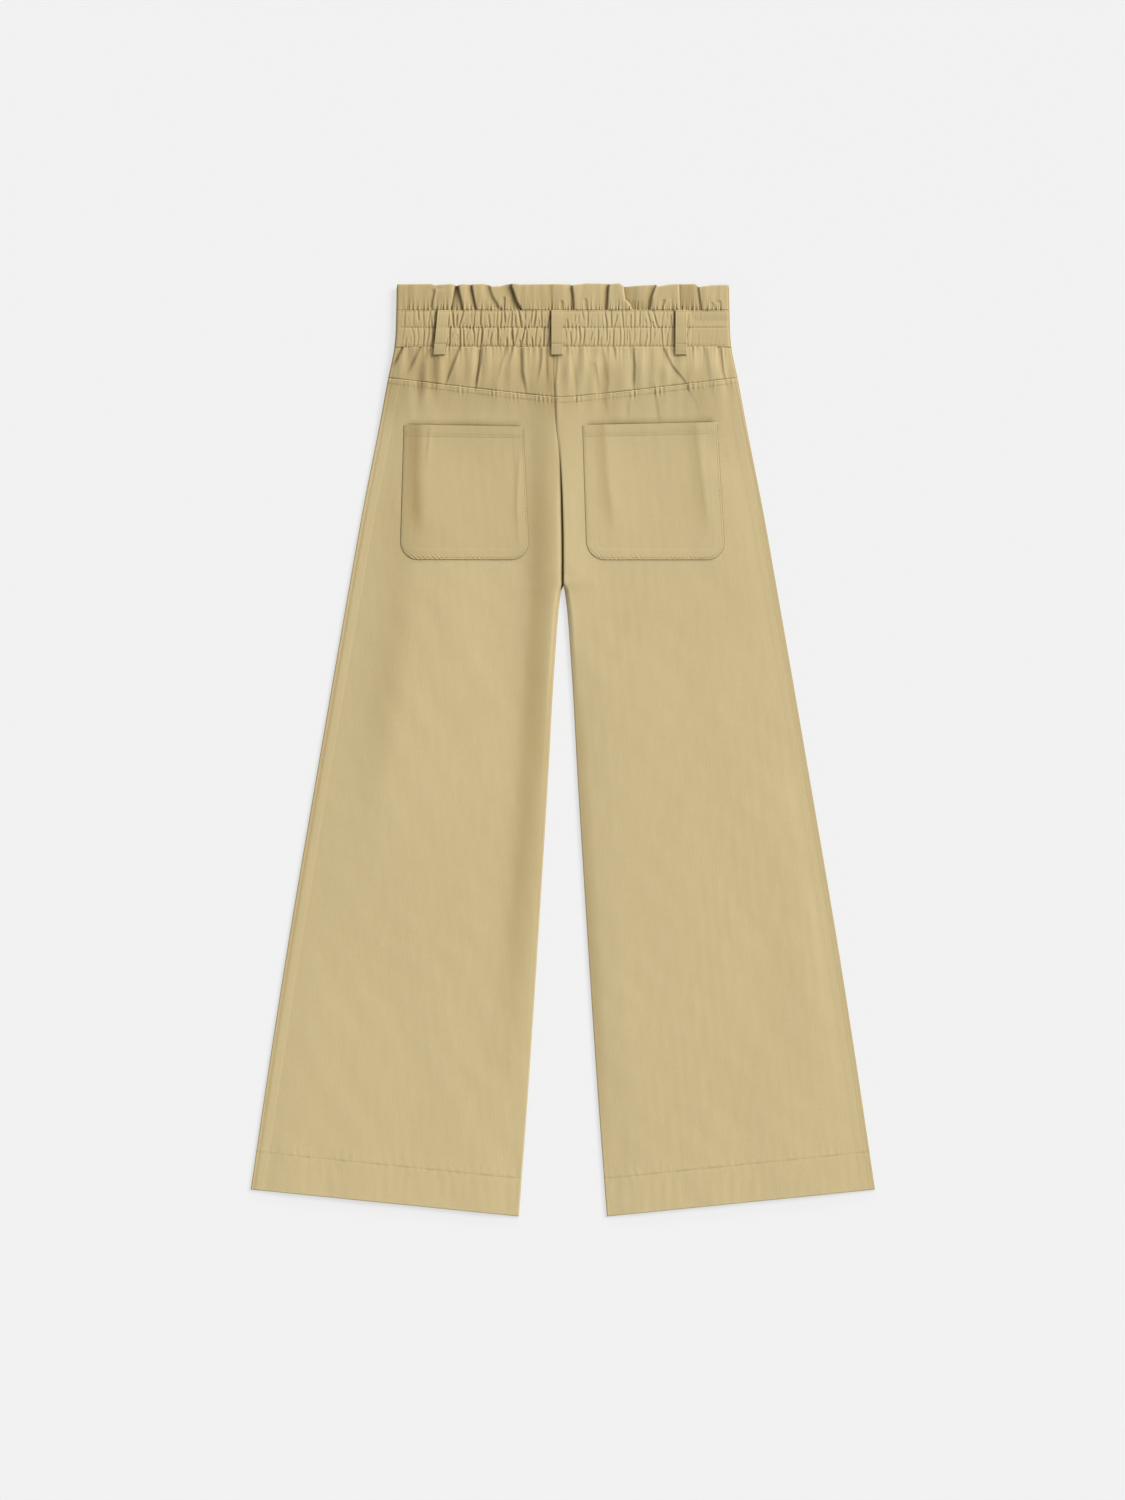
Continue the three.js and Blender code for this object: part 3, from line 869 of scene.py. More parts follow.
@dataclass(frozen=True)
class Waistband:
    """The elasticated band: shirred back and front, joined at the side folds."""

    outline: Outline
    wall: float = 2.2
    columns: int = 790
    rows: int = 78

    def relief(self, x: Field, y: float) -> Field:
        """Height of the band's gathers and rows of stitching over its flat face."""
        outline = self.outline
        if y > outline.band_stitch:
            channel = Channel(outline.band_top, outline.band_stitch, 5, UPPER_PULLS)
        else:
            channel = Channel(outline.band_stitch, outline.band_foot, 8, LOWER_PULLS)
        reach = float(outline.side(y))
        ends = mix(0.7, 1.0, ease((x + 152.0) / 14.0)) * mix(1.0, 0.2, ease((x - 134.0) / 8.0))
        ends = ends * mix(1.15, 0.72, ease((x + 10.0) / 40.0))
        calm = ends * ease((reach - np.abs(x) - 4.0) / 9.0)
        dents = -sum(depth * hump(y - row, 0.8) for row, depth in zip(outline.band_rows(), (0.2, 0.3, 0.2)))
        near = math.exp(-abs(y - outline.band_stitch) / 1.8) + math.exp(-abs(y - outline.band_foot) / 2.4)
        tuck = 0.5 * near * ripples(x, np.array(y), 51, 3.0, 50.0)
        slump = -0.4 * ease((x - 134.0) / 12.0) * hump(y - 461.0, 3.6)
        inside = ease((reach - np.abs(x) - 2.0) / 4.0)
        return calm * (channel.relief(x, y, reach) + tuck) + inside * dents + slump

    def back(self, finish: Material) -> Object:
        """The band's back half."""
        outline, rows = self.outline, []
        high, low = outline.band_top, outline.band_foot
        middle = np.linspace(high - 0.6, low + 0.6, self.rows)
        for y in (high - 0.05, high - 0.3, *middle, low + 0.3, low + 0.05):
            x = across_folds(float(outline.side(y)), outline.band_stack, self.columns)
            rim = round_off(min(high - y, y - low), 0.7)
            z = outline.band_stack + self.relief(x, float(y)) - rim
            z -= round_off(outline.from_side(x, y), outline.band_stack / 2)
            rows.append(stacked(x, y, z))
        outer = np.array(rows)
        # Painted shade over the gathered waist and in the gathers' hollows, and the belt loops' painted
        # shadows.
        shade = waist_shade(outer[..., 0]) + hollow_shade(outer[..., 2], 4, 0.42)
        shade += roll_relief(outer[..., 0], outer[..., 1], LOOP_SHADES)
        cut = Cut((430, 41), 1.0, "gathered", ("waistband_front",))
        return upper("waistband_back", outer, self.wall, shade).make(cut, finish)


def waist_shade(x: Field) -> Field:
    """Painted shade of the gathered waist, deeper on the wearer's left and round the side folds, where it
    damps their lit rims.
    """
    edge = 0.3 * hump(np.max(np.abs(x), axis=-1, keepdims=True) - np.abs(x), 1.5)
    return mix(0.26, 0.13, ease((x + 50.0) / 90.0)) + edge


def across_folds(reach: float, stack: float, count: int) -> Field:
    """Columns of an upper piece from one side fold to the other, dense where it rolls over."""
    offsets, inner = edge_offsets(stack), reach - DENSE_REACH * stack
    return np.concatenate([-reach + offsets, np.linspace(-inner, inner, count), (reach - offsets)[::-1]])


# The tail of a frill fold, which stays full almost to its lower end.
UNFADED = 0.12
FRILL_FOLDS = (
    Crease(((-166, 505), (-166, 487), (-165, 470)), 0.7, 0.2, 4, 6, 2.0, UNFADED),
    Crease(((-137.5, 494), (-139.5, 484), (-142, 470)), 1.9, 1.0, 3.5, 10, 1.0, 0.3),
    Crease(((-114, 505), (-117, 488), (-120.5, 470)), 3.2, 1.2, 5.5, 12, 0.8, UNFADED, Over.LEFT),
    Crease(((-114, 505), (-111, 490), (-106.5, 470)), 2.6, 1.6, 5, 8, 0.9, UNFADED),
    Crease(((-99, 505), (-96.4, 490), (-92.6, 470)), 3.2, 1.6, 5.5, 12, 0.8, UNFADED),
    Crease(((-82, 505), (-77, 488), (-70, 476), (-64, 470)), 2.2, 0.7, 5, 6, 1.8, UNFADED),
    Crease(((-62.4, 486), (-62.8, 470)), 1.6, 0.4, 2.5, 3, 1.0, UNFADED),
    Crease(((-58, 505), (-49.8, 482), (-43, 470)), 4.0, 2.2, 9, 16, 0.9, UNFADED),
    Crease(((-14, 505), (-13.5, 486), (-12, 470)), 1.2, 0.4, 6, 7, 2.4, UNFADED),
    Crease(((-0.5, 482), (0.3, 470)), 1.5, 0.4, 2.5, 3, 1.0, UNFADED),
    Crease(((8.9, 505), (11, 488), (12, 470)), 3.2, 1.5, 5, 12, 0.8, UNFADED),
    Crease(((24.7, 484), (25.5, 470)), 1.3, 0.4, 3, 4, 1.1, UNFADED),
    Crease(((49.5, 505), (48.3, 488), (47.4, 470)), 3.6, 1.7, 6, 12, 0.8, UNFADED),
    Crease(((65, 505), (67.7, 484), (71.8, 480), (77, 470)), 3.2, 1.3, 12, 9, 0.9, UNFADED, Over.LEFT),
    Crease(((101.6, 505), (95.2, 487), (93.3, 470)), 3.3, 1.7, 7, 12, 0.9, UNFADED),
    Crease(((109.5, 483), (105, 470)), 1.5, 0.4, 3, 4, 1.1, UNFADED),
    Crease(((125.1, 505), (125.6, 487), (126.2, 470)), 2.9, 0.8, 17, 9, 0.7, UNFADED, Over.LEFT),
    Crease(((144.8, 505), (146.8, 487), (149, 470)), 1.2, 2.0, 4, 15, 0.8, UNFADED),
    Crease(((161, 480), (163, 470)), 1.3, 0.5, 3, 5, 1.0, UNFADED),
    Crease(((169, 482), (170.5, 470)), 1.3, 0.5, 3, 4, 1.0, UNFADED),
)

# The frill's top edge: places across, and the edge's height over its usual level.
TOP_EDGE = (
    (-178, 0.0), (-141, 0.3), (-137, -0.9), (-119, 0.2), (-114, -1.3), (-108, 0.0), (-98, -0.3), (-86, 0.4),
    (-80, -0.6), (-76, -2.4), (-67, -2.0), (-60, 0.1), (-54, 0.6), (-46, -0.4), (-17, 0.2), (8, 0.0),
    (10, -1.2), (25, 0.9), (45, 0.8), (50, 0.1), (61, 0.8), (66, -2.6), (77, -1.8), (92, -0.8), (100, -0.4),
    (103, -2.6), (112, -0.5), (124, 0.2), (142, 0.5), (146, -3.0), (160, -1.0), (178, -0.5),
)


@dataclass(frozen=True)
class Frill:
    """The standing frill above the band: doubled cloth in uneven folds."""

    outline: Outline
    wall: float = 1.1
    columns: int = 700
    rows: int = 46
    fold_depth: float = 0.72
    rise: float = 29.0

    def back(self, finish: Material) -> Object:
        """The frill's back half."""
        outline, rows, troughs = self.outline, [], []
        low, high = outline.band_top - 0.7, outline.frill_top - 0.9
        dx, dy = (np.array(values, float) for values in zip(*TOP_EDGE))
        for up in (1.0, 0.99, *np.linspace(0.975, 0.05, self.rows), 0.035, 0.02, 0.01, 0.0):
            nominal = mix(low, high, up)
            x = across_folds(float(outline.side(nominal)), outline.band_stack, self.columns)
            y = nominal + np.interp(x, dx, dy) * up**2
            from_foot = nominal - outline.band_top
            from_side = outline.from_side(x, nominal)
            relief = self.fold_depth * crease_relief(x, nominal * np.ones_like(x), FRILL_FOLDS)
            foot = math.exp(-max(from_foot, 0.0) / 4.5)
            puckers = foot * (0.7 * ripples(x, y, 61, 3.4, 60.0) - 0.4)
            puckers = puckers + 0.12 * ripples(x, y, 62, 12.0, 90.0)
            body = 0.5 * math.sin(math.pi * up) + relief * mix(0.75, 1.0, up)
            z = outline.band_stack + ease((from_side - 3.0) / 8.0) * (body + puckers)
            z -= 1.4 * ease((0.9 - from_foot) / 1.4) + round_off((1.0 - up) * self.rise, 0.8)
            z -= round_off(from_side, outline.band_stack / 2)
            rows.append(stacked(x, y, z))
            # Painted shade in the folds' troughs.
            troughs.append(np.clip(-0.13 * relief, 0.0, 0.5))
        outer = np.array(rows)
        # Painted shade: an even darkening, the waist's, the hollows' and the folds' troughs'.
        shade = 0.04 + waist_shade(outer[..., 0]) + hollow_shade(outer[..., 2], 5, 0.4) + np.array(troughs)
        cut = Cut((420, 30), 1.0, "gathered", ("frill_front",))
        return upper("frill_back", outer, self.wall, shade).make(cut, finish)


# ---------------------------------------------------------------- front


class Turn(NamedTuple):
    """One edge of a front piece: its place, and its turn from 0 for flat to 1 for right up."""

    edge: float
    turn: float


@dataclass(frozen=True)
class FrontPieces:
    """Front legs, front band and front frill. They lie flat below and turn up at their edges."""

    outline: Outline
    leg_wall: float = 0.8
    leg_columns: int = 146
    waist_columns: int = 451
    turn_columns: int = 10
    turn_angle: float = 123.0

    def turned(self, stack: float, wall: float, turn: float) -> Field:
        """Outer and inner points of a turned edge, from the flat outwards.

        Args:
            stack: height of the folded cloth.
            wall: thickness of the cloth.
            turn: 0 for a flat edge and 1 for a full turn.

        Returns:
            Rows of outer x, outer z, inner x, inner z and length along the cloth.
        """
        radius = (stack - wall) / 2
        bend = max(turn, 1e-3) / radius
        s = np.linspace(0, math.radians(self.turn_angle) * radius, self.turn_columns + 1)
        angle = bend * s
        x = np.sin(angle) / bend
        z = wall / 2 + (1 - np.cos(angle)) / bend
        nx, nz = -np.sin(angle) * wall / 2, np.cos(angle) * wall / 2
        return np.stack([x - nx, z - nz, x + nx, z + nz, s], -1)

    def turned_shade(self, shape: tuple) -> Field:
        """Painted shade that deepens round the turned edges of a grid of the given shape and damps their
        lit rims.
        """
        columns = np.arange(shape[1])
        inward = np.minimum(columns, shape[1] - 1 - columns)
        return 0.5 * ease((self.turn_columns - inward) / 4.0) * np.ones(shape)

    def section(
        self, ends: tuple, stack: float, wall: float, count: int, lift: Callable, row: Callable
    ) -> tuple:
        """One row: the low edge's turn, the flat stretch and the high edge's turn.

        Args:
            ends: the Turns at low and at high x.
            stack: height of the folded cloth.
            wall: thickness of the cloth.
            count: columns across the flat stretch.
            lift: height off the surface as a function of x.
            row: y as a function of x.

        Returns:
            Outer points, inner points and places on the flat cloth.
        """
        low, high = ends
        left, right = self.turned(stack, wall, low.turn), self.turned(stack, wall, high.turn)
        start = low.edge + max(left[:, 0].max(), left[:, 2].max())
        end = high.edge - max(right[:, 0].max(), right[:, 2].max())
        flat = mix(start, end, np.linspace(0, 1, count))[1:-1]
        rise = lift(flat) * ease(np.minimum(flat - start, end - flat) / 8.0)
        outer_x, inner_x, along = (
            np.concatenate([start - left[::-1, part], flat, end + right[:, part]]) for part in (0, 2, 4)
        )
        outer_z = np.concatenate([left[::-1, 1], rise, right[:, 1]])
        inner_z = np.concatenate([left[::-1, 3], rise + wall, right[:, 3]])
        outer = stacked(outer_x, row(outer_x), np.maximum(outer_z, 0.0))
        return outer, stacked(inner_x, row(inner_x), inner_z), np.stack([along, outer[:, 1]], -1)

    def joined(self, node: str, sections: Sequence[tuple], cut: Cut, finish: Material) -> Object:
        """Makes a piece from its sections."""
        outer, inner, cloth = (np.array(part) for part in zip(*sections))
        return Shell(node, outer, inner, cloth, self.turned_shade(outer.shape[:2])).make(cut, finish)

    def leg(self, side: Side, finish: Material) -> Object:
        """One front leg, whose face below has a few soft troughs under the band."""
        crotch, hem = self.outline.crotch, self.outline.hem_middle()
        top = self.outline.band_foot - HALF_GAP
        stops = (top, 300, crotch, crotch - 1, crotch - 18, crotch - 30, hem + 4, hem + 3, hem)
        sections = [self.leg_row(side, float(y)) for y in spaced(stops, (45, 12, 1, 9, 1, 35, 1, 5))]
        return self.joined(side.of("front_leg"), sections, Cut((300, 936), 0.84, "laid"), finish)

    def leg_row(self, side: Side, y: float) -> tuple:
        """The section of a leg that passes through y at the leg's middle."""
        outline = self.outline
        tilt = outline.hem_tilt(y)
        near = math.exp(-max(outline.band_foot - y, 0.0) / 26.0)

        def row(x: Field) -> Field:
            """Level of the row at x."""
            return y + tilt * (outline.hem(x) - outline.hem_middle())

        def lift(x: Field) -> Field:
            """Height of the soft troughs that rise off the surface below the gathered band."""
            waves = ripples(x, np.array(y), 71, 21.0, 240.0) + 0.5 * ripples(x, np.array(y), 72, 8.0, 130.0)
            return np.maximum(0.9 * near * waves, 0.0)

        fork_y, flank_y = y, y
        for _ in range(6):
            fork_y, flank_y = float(row(outline.inseam(fork_y))), float(row(outline.side(flank_y)))
        fork_edge = HALF_GAP if y > outline.crotch - 1 else float(outline.inseam(fork_y))
        fork = Turn(side.value * fork_edge, float(outline.forked(y)))
        flank = Turn(side.value * float(outline.side(flank_y)), 1.0)
        ends = (flank, fork) if side is Side.LEFT else (fork, flank)
        return self.section(ends, float(outline.stack(y)), self.leg_wall, self.leg_columns, lift, row)

    def strip(
        self, node: str, levels: Field, wall: float, lift: Callable, flat: tuple, finish: Material
    ) -> Object:
        """A strip of the front waist, gathered on its face below.

        Args:
            node: the solid that it stands for.
            levels: y of each row, from the top down.
            wall: thickness of the cloth.
            lift: height off the surface, as a function of x and y.
            flat: its flat size.
            finish: its material.

        Returns:
            The piece.
        """
        sections = []
        for y in levels:
            reach = float(self.outline.side(y))
            ends = (Turn(-reach, 1.0), Turn(reach, 1.0))
            row = partial(np.full_like, fill_value=y)
            stack = self.outline.band_stack
            sections.append(self.section(ends, stack, wall, self.waist_columns, partial(lift, y=y), row))
        return self.joined(node, sections, Cut(flat, 1.0, "gathered"), finish)

    def band(self, wall: float, finish: Material) -> Object:
        """The band's front half."""
        outline = self.outline

        def lift(x: Field, y: float) -> Field:
            """Height of the gathers, which are drawn up at the rows of stitching."""
            rows = (outline.band_top, outline.band_stitch, outline.band_foot)
            off_row = min(abs(y - row) for row in rows)
            return 0.25 + 0.2 * ripples(x, np.array(y), 81, 6.0, 300.0) + 0.5 * math.exp(-off_row / 1.2)

        levels = np.linspace(outline.band_top - HALF_GAP, outline.band_foot + HALF_GAP, 31)
        return self.strip("waistband_front", levels, wall, lift, (430, 41), finish)

    def frill(self, wall: float, finish: Material) -> Object:
        """The frill's front half."""
        outline = self.outline

        def lift(x: Field, y: float) -> Field:
            """Height of the folds, with small gathers near the band."""
            foot = 0.3 * math.exp(-(y - outline.band_top) / 6.0)
            folds = 0.5 * ripples(x, np.array(y), 91, 26.0, 300.0)
            return np.maximum(folds + foot * ripples(x, np.array(y), 92, 5.0, 90.0), 0.0)

        levels = np.linspace(outline.frill_top - 4.0, outline.band_top + HALF_GAP, 25)
        return self.strip("frill_front", levels, wall, lift, (420, 30), finish)


# ---------------------------------------------------------------- pockets and loops


LEFT_POCKET_FOLDS = (
    Crease(((-158, 350), (-160, 300), (-156, 222)), 0.9, 0.3, 10, 10, 7.0, 0.3),
    Crease(((-49, 310), (-51.5, 260), (-50, 214)), 0.3, 0.3, 5, 6, 1.6, 0.4),
    Crease(((-144, 344), (-146, 320), (-147, 300)), 0.4, 0.2, 3, 4, 1.4),
)
RIGHT_POCKET_FOLDS = (
    Crease(((40, 352), (44, 290), (54, 216)), 0.6, 0.3, 9, 12, 4.5, 0.4),
    Crease(((139, 352), (146, 290), (155, 218)), 0.6, 0.3, 12, 10, 4.0, 0.4),
)


@dataclass(frozen=True)
class PatchPocket:
    """A patch pocket with a hemmed mouth and two rounded lower corners.

    tone is painted shade over the whole pocket and lean painted shade that it gains towards its low-x side.
    """

    side: Side
    form: BackForm
    folds: tuple
    x0_top: float
    x1_top: float
    x0_foot: float
    x1_foot: float
    top: float
    top_tilt: float
    pocket_shade: float
    lean: float
    foot: float = 204.3
    corner: float = 20.0
    corner_steps: int = 24
    mouth: float = 12.0
    row_gap: float = 2.6
    wall: float = 0.5
    count: int = 126

    def bounds(self, y: Field) -> tuple[Field, Field]:
        """Left and right edge at y, corners aside."""
        down = (self.top - y) / (self.top - self.foot)
        return mix(self.x0_top, self.x0_foot, down), mix(self.x1_top, self.x1_foot, down)

    def mouth_level(self, x: Field) -> Field:
        """Level of the mouth's edge."""
        share = (x - self.x0_top) / (self.x1_top - self.x0_top)
        return self.top + self.top_tilt * (share - 0.5)

    def inside(self, x: Field, y: Field) -> Field:
        """Distance from the sewn edge, which runs down one side, round the foot and up the other."""
        left, right = self.bounds(y)
        d = np.minimum(np.minimum(x - left, right - x), y - self.foot)
        for centre_x, sign in ((left + self.corner, -1), (right - self.corner, 1)):
            dx, dy = sign * (x - centre_x), self.foot + self.corner - y
            arc = self.corner - np.hypot(dx, dy)
            d = np.where((dx > 0) & (dy > 0), np.minimum(d, arc), d)
        return d

    def mouth_rows(self) -> tuple:
        """Distances of the two rows of stitching from the mouth's edge."""
        return self.mouth, self.mouth - self.row_gap

    def height(self, x: Field, y: Field) -> Field:
        """Height of the pocket's upper face."""
        d = self.inside(x, y)
        from_mouth = self.mouth_level(x) - y
        z = self.form.height(x, y, sagging=False) + self.wall + 0.12
        z -= round_off(np.maximum(d, 0), 0.5) + round_off(np.maximum(from_mouth, 0), 0.5)
        z += 0.25 * hump(from_mouth, 7.0) * ease((d - 2.0) / 16.0)
        z += 0.15 * ease((self.mouth - from_mouth + 0.8) / 1.6) * ease((d - 1.0) / 3.0)
        for row in self.mouth_rows():
            z -= 0.2 * hump(from_mouth - row, 0.7) * ease(d / 2.0)
        z += 0.12 * ease((12.5 - d) / 1.8) - 0.22 * hump(d - 2.0, 0.6)
        z += 0.6 * crease_relief(x, y, self.folds)
        puckers = hump(d - 2.5, 2.6) * np.where(from_mouth < 6.0, 0.3, 1.0)
        puckers = puckers * mix(1.6, 1.0, ease((y - self.foot) / 14.0))
        return z + 0.14 * puckers * ripples(x, y, 101 + self.side.value, 3.4, 3.4)

    def shade(self, x: Field, y: Field, z: Field) -> Field:
        """Painted shade over the pocket, in its hollows and fold troughs with a little painted light on the
        rolls, and painted shadow lines along its sewn edge and its mouth's edge.
        """
        from_mouth = self.mouth_level(x) - y
        shade = self.pocket_shade + hollow_shade(z, 3, 0.35) - 0.27 * crease_relief(x, y, self.folds)
        shade += self.lean * ease((self.x0_foot + 50.0 - x) / 45.0)
        shade += 0.75 * hump(self.inside(x, y), 0.7) * ease((from_mouth - 1.0) / 2.0)
        return shade + 0.4 * hump(from_mouth, 0.8)

    def build(self, finish: Material) -> Object:
        """Makes the pocket."""
        height, bend = self.top - self.foot, self.foot + self.corner
        turn = np.linspace(0, math.pi / 2, self.corner_steps + 1)
        corner_rows = self.foot + self.corner * (1 - np.sin(turn))
        body_rows = np.linspace(self.top, bend, self.count + 1 - self.corner_steps)[1:-1]
        rows = []
        for y in np.concatenate([self.top - np.array([0.0, 0.35, 0.7]), body_rows, corner_rows]):
            tuck = self.corner - math.sqrt(self.corner**2 - np.clip(bend - y, 0, self.corner) ** 2)
            left, right = self.bounds(y)
            x = np.linspace(left + tuck, right - tuck, self.count + 1)
            tilt = (self.mouth_level(x) - self.top) * np.clip((y - self.foot) / height, 0, 1) ** 3
            rows.append(stacked(x, y + tilt, self.height(x, y + tilt)))
        outer = np.array(rows)
        shade = self.shade(outer[..., 0], outer[..., 1], outer[..., 2])
        width = max(self.x1_foot - self.x0_foot, self.x1_top - self.x0_top)
        cut = Cut((width, height), 0.96, "laid", (self.side.of("back_leg"),))
        return upper(self.side.of("pocket"), outer, self.wall, shade).make(cut, finish)


@dataclass(frozen=True)
class BeltLoop:
    """A folded strip sewn down at both ends that stands off the band between them."""

    name: str
    x_top: float
    x_foot: float
    seat: Callable[[Field, Field], Field]
    top: float = 472.3
    foot: float = 423.6
    width: float = 12.4
    wall: float = 1.5
    arch: float = 1.6
    edge: float = 0.8
    slack: float = 2.0

    def build(self, finish: Material) -> Object:
        """Makes the loop."""
        half, length = self.width / 2, self.top - self.foot
        dx = half * np.sin(np.linspace(-math.pi / 2, math.pi / 2, 25))
        from_edge = half - np.abs(dx)
        rows = []
        for down in np.concatenate([[0.0, 0.006, 0.014], np.linspace(0.02, 0.98, 85), [0.986, 0.994, 1.0]]):
            y, x = mix(self.top, self.foot, down), mix(self.x_top, self.x_foot, down) + dx
            carrier = max(float(np.max(self.seat(x, np.array(y + dy)))) for dy in (-2.5, 0.0, 2.5))
            end = min(down, 1 - down) * length
            z = carrier + 0.1 + self.wall + self.arch * math.sin(math.pi * down) ** 0.7
            z = z - round_off(from_edge, self.edge) - round_off(end, self.edge)
            z = z - 0.16 * hump(from_edge - 2.0, 0.5) - 0.2 * hump(end - 2.6, 0.6)
            rows.append(stacked(x, y, z))
        outer = np.array(rows)
        from_end = np.minimum(self.top - outer[..., 1], outer[..., 1] - self.foot)
        # Painted shade: the loop a little darker all over and in its hollows, and a painted shadow line at
        # each sewn end.
        shade = 0.18 + hollow_shade(outer[..., 2], 2, 0.6) + 0.5 * hump(from_end, 0.9)
        cut = Cut((self.width, length + self.slack), 1.0, "laid", ("waistband_back",))
        return upper(self.name, outer, self.wall, shade, 2).make(cut, finish)


# ---------------------------------------------------------------- stitches


@dataclass(frozen=True)
class StitchSize:
    """Size and spacing of machine stitches."""

    pitch: float = 3.1
    length: float = 2.3
    radius: float = 0.22


def stitch_tree(finish: Material) -> NodeTree:
    """Geometry Nodes that lay stitches end to end along the edges of a mesh.

    Args:
        finish: the thread's material.

    Returns:
        The tree, whose inputs are the sizes in metres.
    """
    tree = bpy.data.node_groups.new("stitches", "GeometryNodeTree")
    interface = tree.interface
    interface.new_socket("Path", in_out="INPUT", socket_type="NodeSocketGeometry")
    for name, default in (("Pitch", 0.003), ("Length", 0.002), ("Radius", 0.0002)):
        interface.new_socket(name, in_out="INPUT", socket_type="NodeSocketFloat").default_value = default
    interface.new_socket("Stitches", in_out="OUTPUT", socket_type="NodeSocketGeometry")

    def node(kind: str, **settings: object) -> Node:
        """Adds a node with its settings."""
        made = tree.nodes.new(kind)
        for key, value in settings.items():
            setattr(made, key, value)
        return made

    given = node("NodeGroupInput")
    result = node("NodeGroupOutput")
    curve = node("GeometryNodeMeshToCurve")
    points = node("GeometryNodeCurveToPoints", mode="LENGTH")
    thread = node("GeometryNodeMeshCylinder", fill_type="TRIANGLE_FAN")
    thread.inputs["Vertices"].default_value = 6
    turned = node("GeometryNodeTransform")
    turned.inputs["Rotation"].default_value = (0.0, math.pi / 2, 0.0)
    aligned = node("FunctionNodeAlignRotationToVector", axis="X")
    laid = node("GeometryNodeInstanceOnPoints")
    jitter = node("FunctionNodeRandomValue", data_type="FLOAT_VECTOR")
    jitter.inputs["Min"].default_value = (0.86, 0.9, 0.7)
    jitter.inputs["Max"].default_value = (1.06, 1.15, 1.0)
    jitter.inputs["Seed"].default_value = 4
    real = node("GeometryNodeRealizeInstances")
    coloured = node("GeometryNodeSetMaterial")
    coloured.inputs["Material"].default_value = finish
    for source, target in (
        (given.outputs["Path"], curve.inputs["Mesh"]),
        (curve.outputs["Curve"], points.inputs["Curve"]),
        (given.outputs["Pitch"], points.inputs["Length"]),
        (given.outputs["Radius"], thread.inputs["Radius"]),
        (given.outputs["Length"], thread.inputs["Depth"]),
        (thread.outputs["Mesh"], turned.inputs["Geometry"]),
        (points.outputs["Points"], laid.inputs["Points"]),
        (points.outputs["Tangent"], aligned.inputs["Vector"]),
        (aligned.outputs["Rotation"], laid.inputs["Rotation"]),
        (jitter.outputs["Value"], laid.inputs["Scale"]),
        (turned.outputs["Geometry"], laid.inputs["Instance"]),
        (laid.outputs["Instances"], real.inputs["Geometry"]),
        (real.outputs["Geometry"], coloured.inputs["Geometry"]),
        (coloured.outputs["Geometry"], result.inputs["Stitches"]),
    ):
        tree.links.new(source, target)
    return tree


def stitched(name: str, paths: Sequence[Field], size: StitchSize, tree: NodeTree) -> Object:
    """Lays stitches along paths and turns them into one plain mesh.

    Args:
        name: the piece's name.
        paths: arrays of points in millimetres.
        size: the stitches' size.
        tree: the stitch tree.

    Returns:
        The stitches.
    """
    points, edges = [], []
    for path in paths:
        start = len(points)
        points += (path * MM).tolist()
        edges += [(start + i, start + i + 1) for i in range(len(path) - 1)]
    mesh = bpy.data.meshes.new(name + "_path")
    mesh.from_pydata(points, edges, [])
    carrier = placed(name + "_path", mesh)
    modifier = carrier.modifiers.new("stitches", "NODES")
    modifier.node_group = tree
    values = {"Pitch": size.pitch * MM, "Length": size.length * MM, "Radius": size.radius * MM}
    for item in tree.interface.items_tree:
        if item.in_out == "INPUT" and item.name in values:
            modifier[item.identifier] = values[item.name]
    evaluated = carrier.evaluated_get(bpy.context.evaluated_depsgraph_get())
    made = bpy.data.meshes.new_from_object(evaluated)
    made.name = name
    bpy.data.objects.remove(carrier)
    piece = placed(name, made)
    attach(piece, "root")
    LOG.info("%s: %d faces", name, len(made.polygons))
    return piece


# ---------------------------------------------------------------- finishes


def join(tree: NodeTree, socket: NodeSocket, value: object) -> None:
    """Sets a socket to a number, a colour or a vector, or links it to a Value."""
    if isinstance(value, Value):
        tree.links.new(value.socket, socket)
    elif value is not None:
        socket.default_value = value


def operator(kind: str, reflected: bool = False) -> Callable:
    """A method of Value that adds a Math node.

    Args:
        kind: the node's operation.
        reflected: whether the other operand comes first.

    Returns:
        The method.
    """

    def method(self: "Value", other: object = None) -> "Value":
        """Adds the node."""
        node = self.tree.nodes.new("ShaderNodeMath")
        node.operation = kind
        for socket, value in zip(node.inputs, (other, self) if reflected else (self, other)):
            join(self.tree, socket, value)
        return Value(self.tree, node.outputs[0])

    return method


class Value:
    """A shader socket that takes part in Python expressions."""

    def __init__(self, tree: NodeTree, socket: NodeSocket) -> None:
        """Wraps one output socket of a tree."""
        self.tree = tree
        self.socket = socket

    __add__, __radd__ = operator("ADD"), operator("ADD", True)
    __sub__, __rsub__ = operator("SUBTRACT"), operator("SUBTRACT", True)
    __mul__, __rmul__ = operator("MULTIPLY"), operator("MULTIPLY", True)
    at_most = operator("MINIMUM")
    sine = operator("SINE")


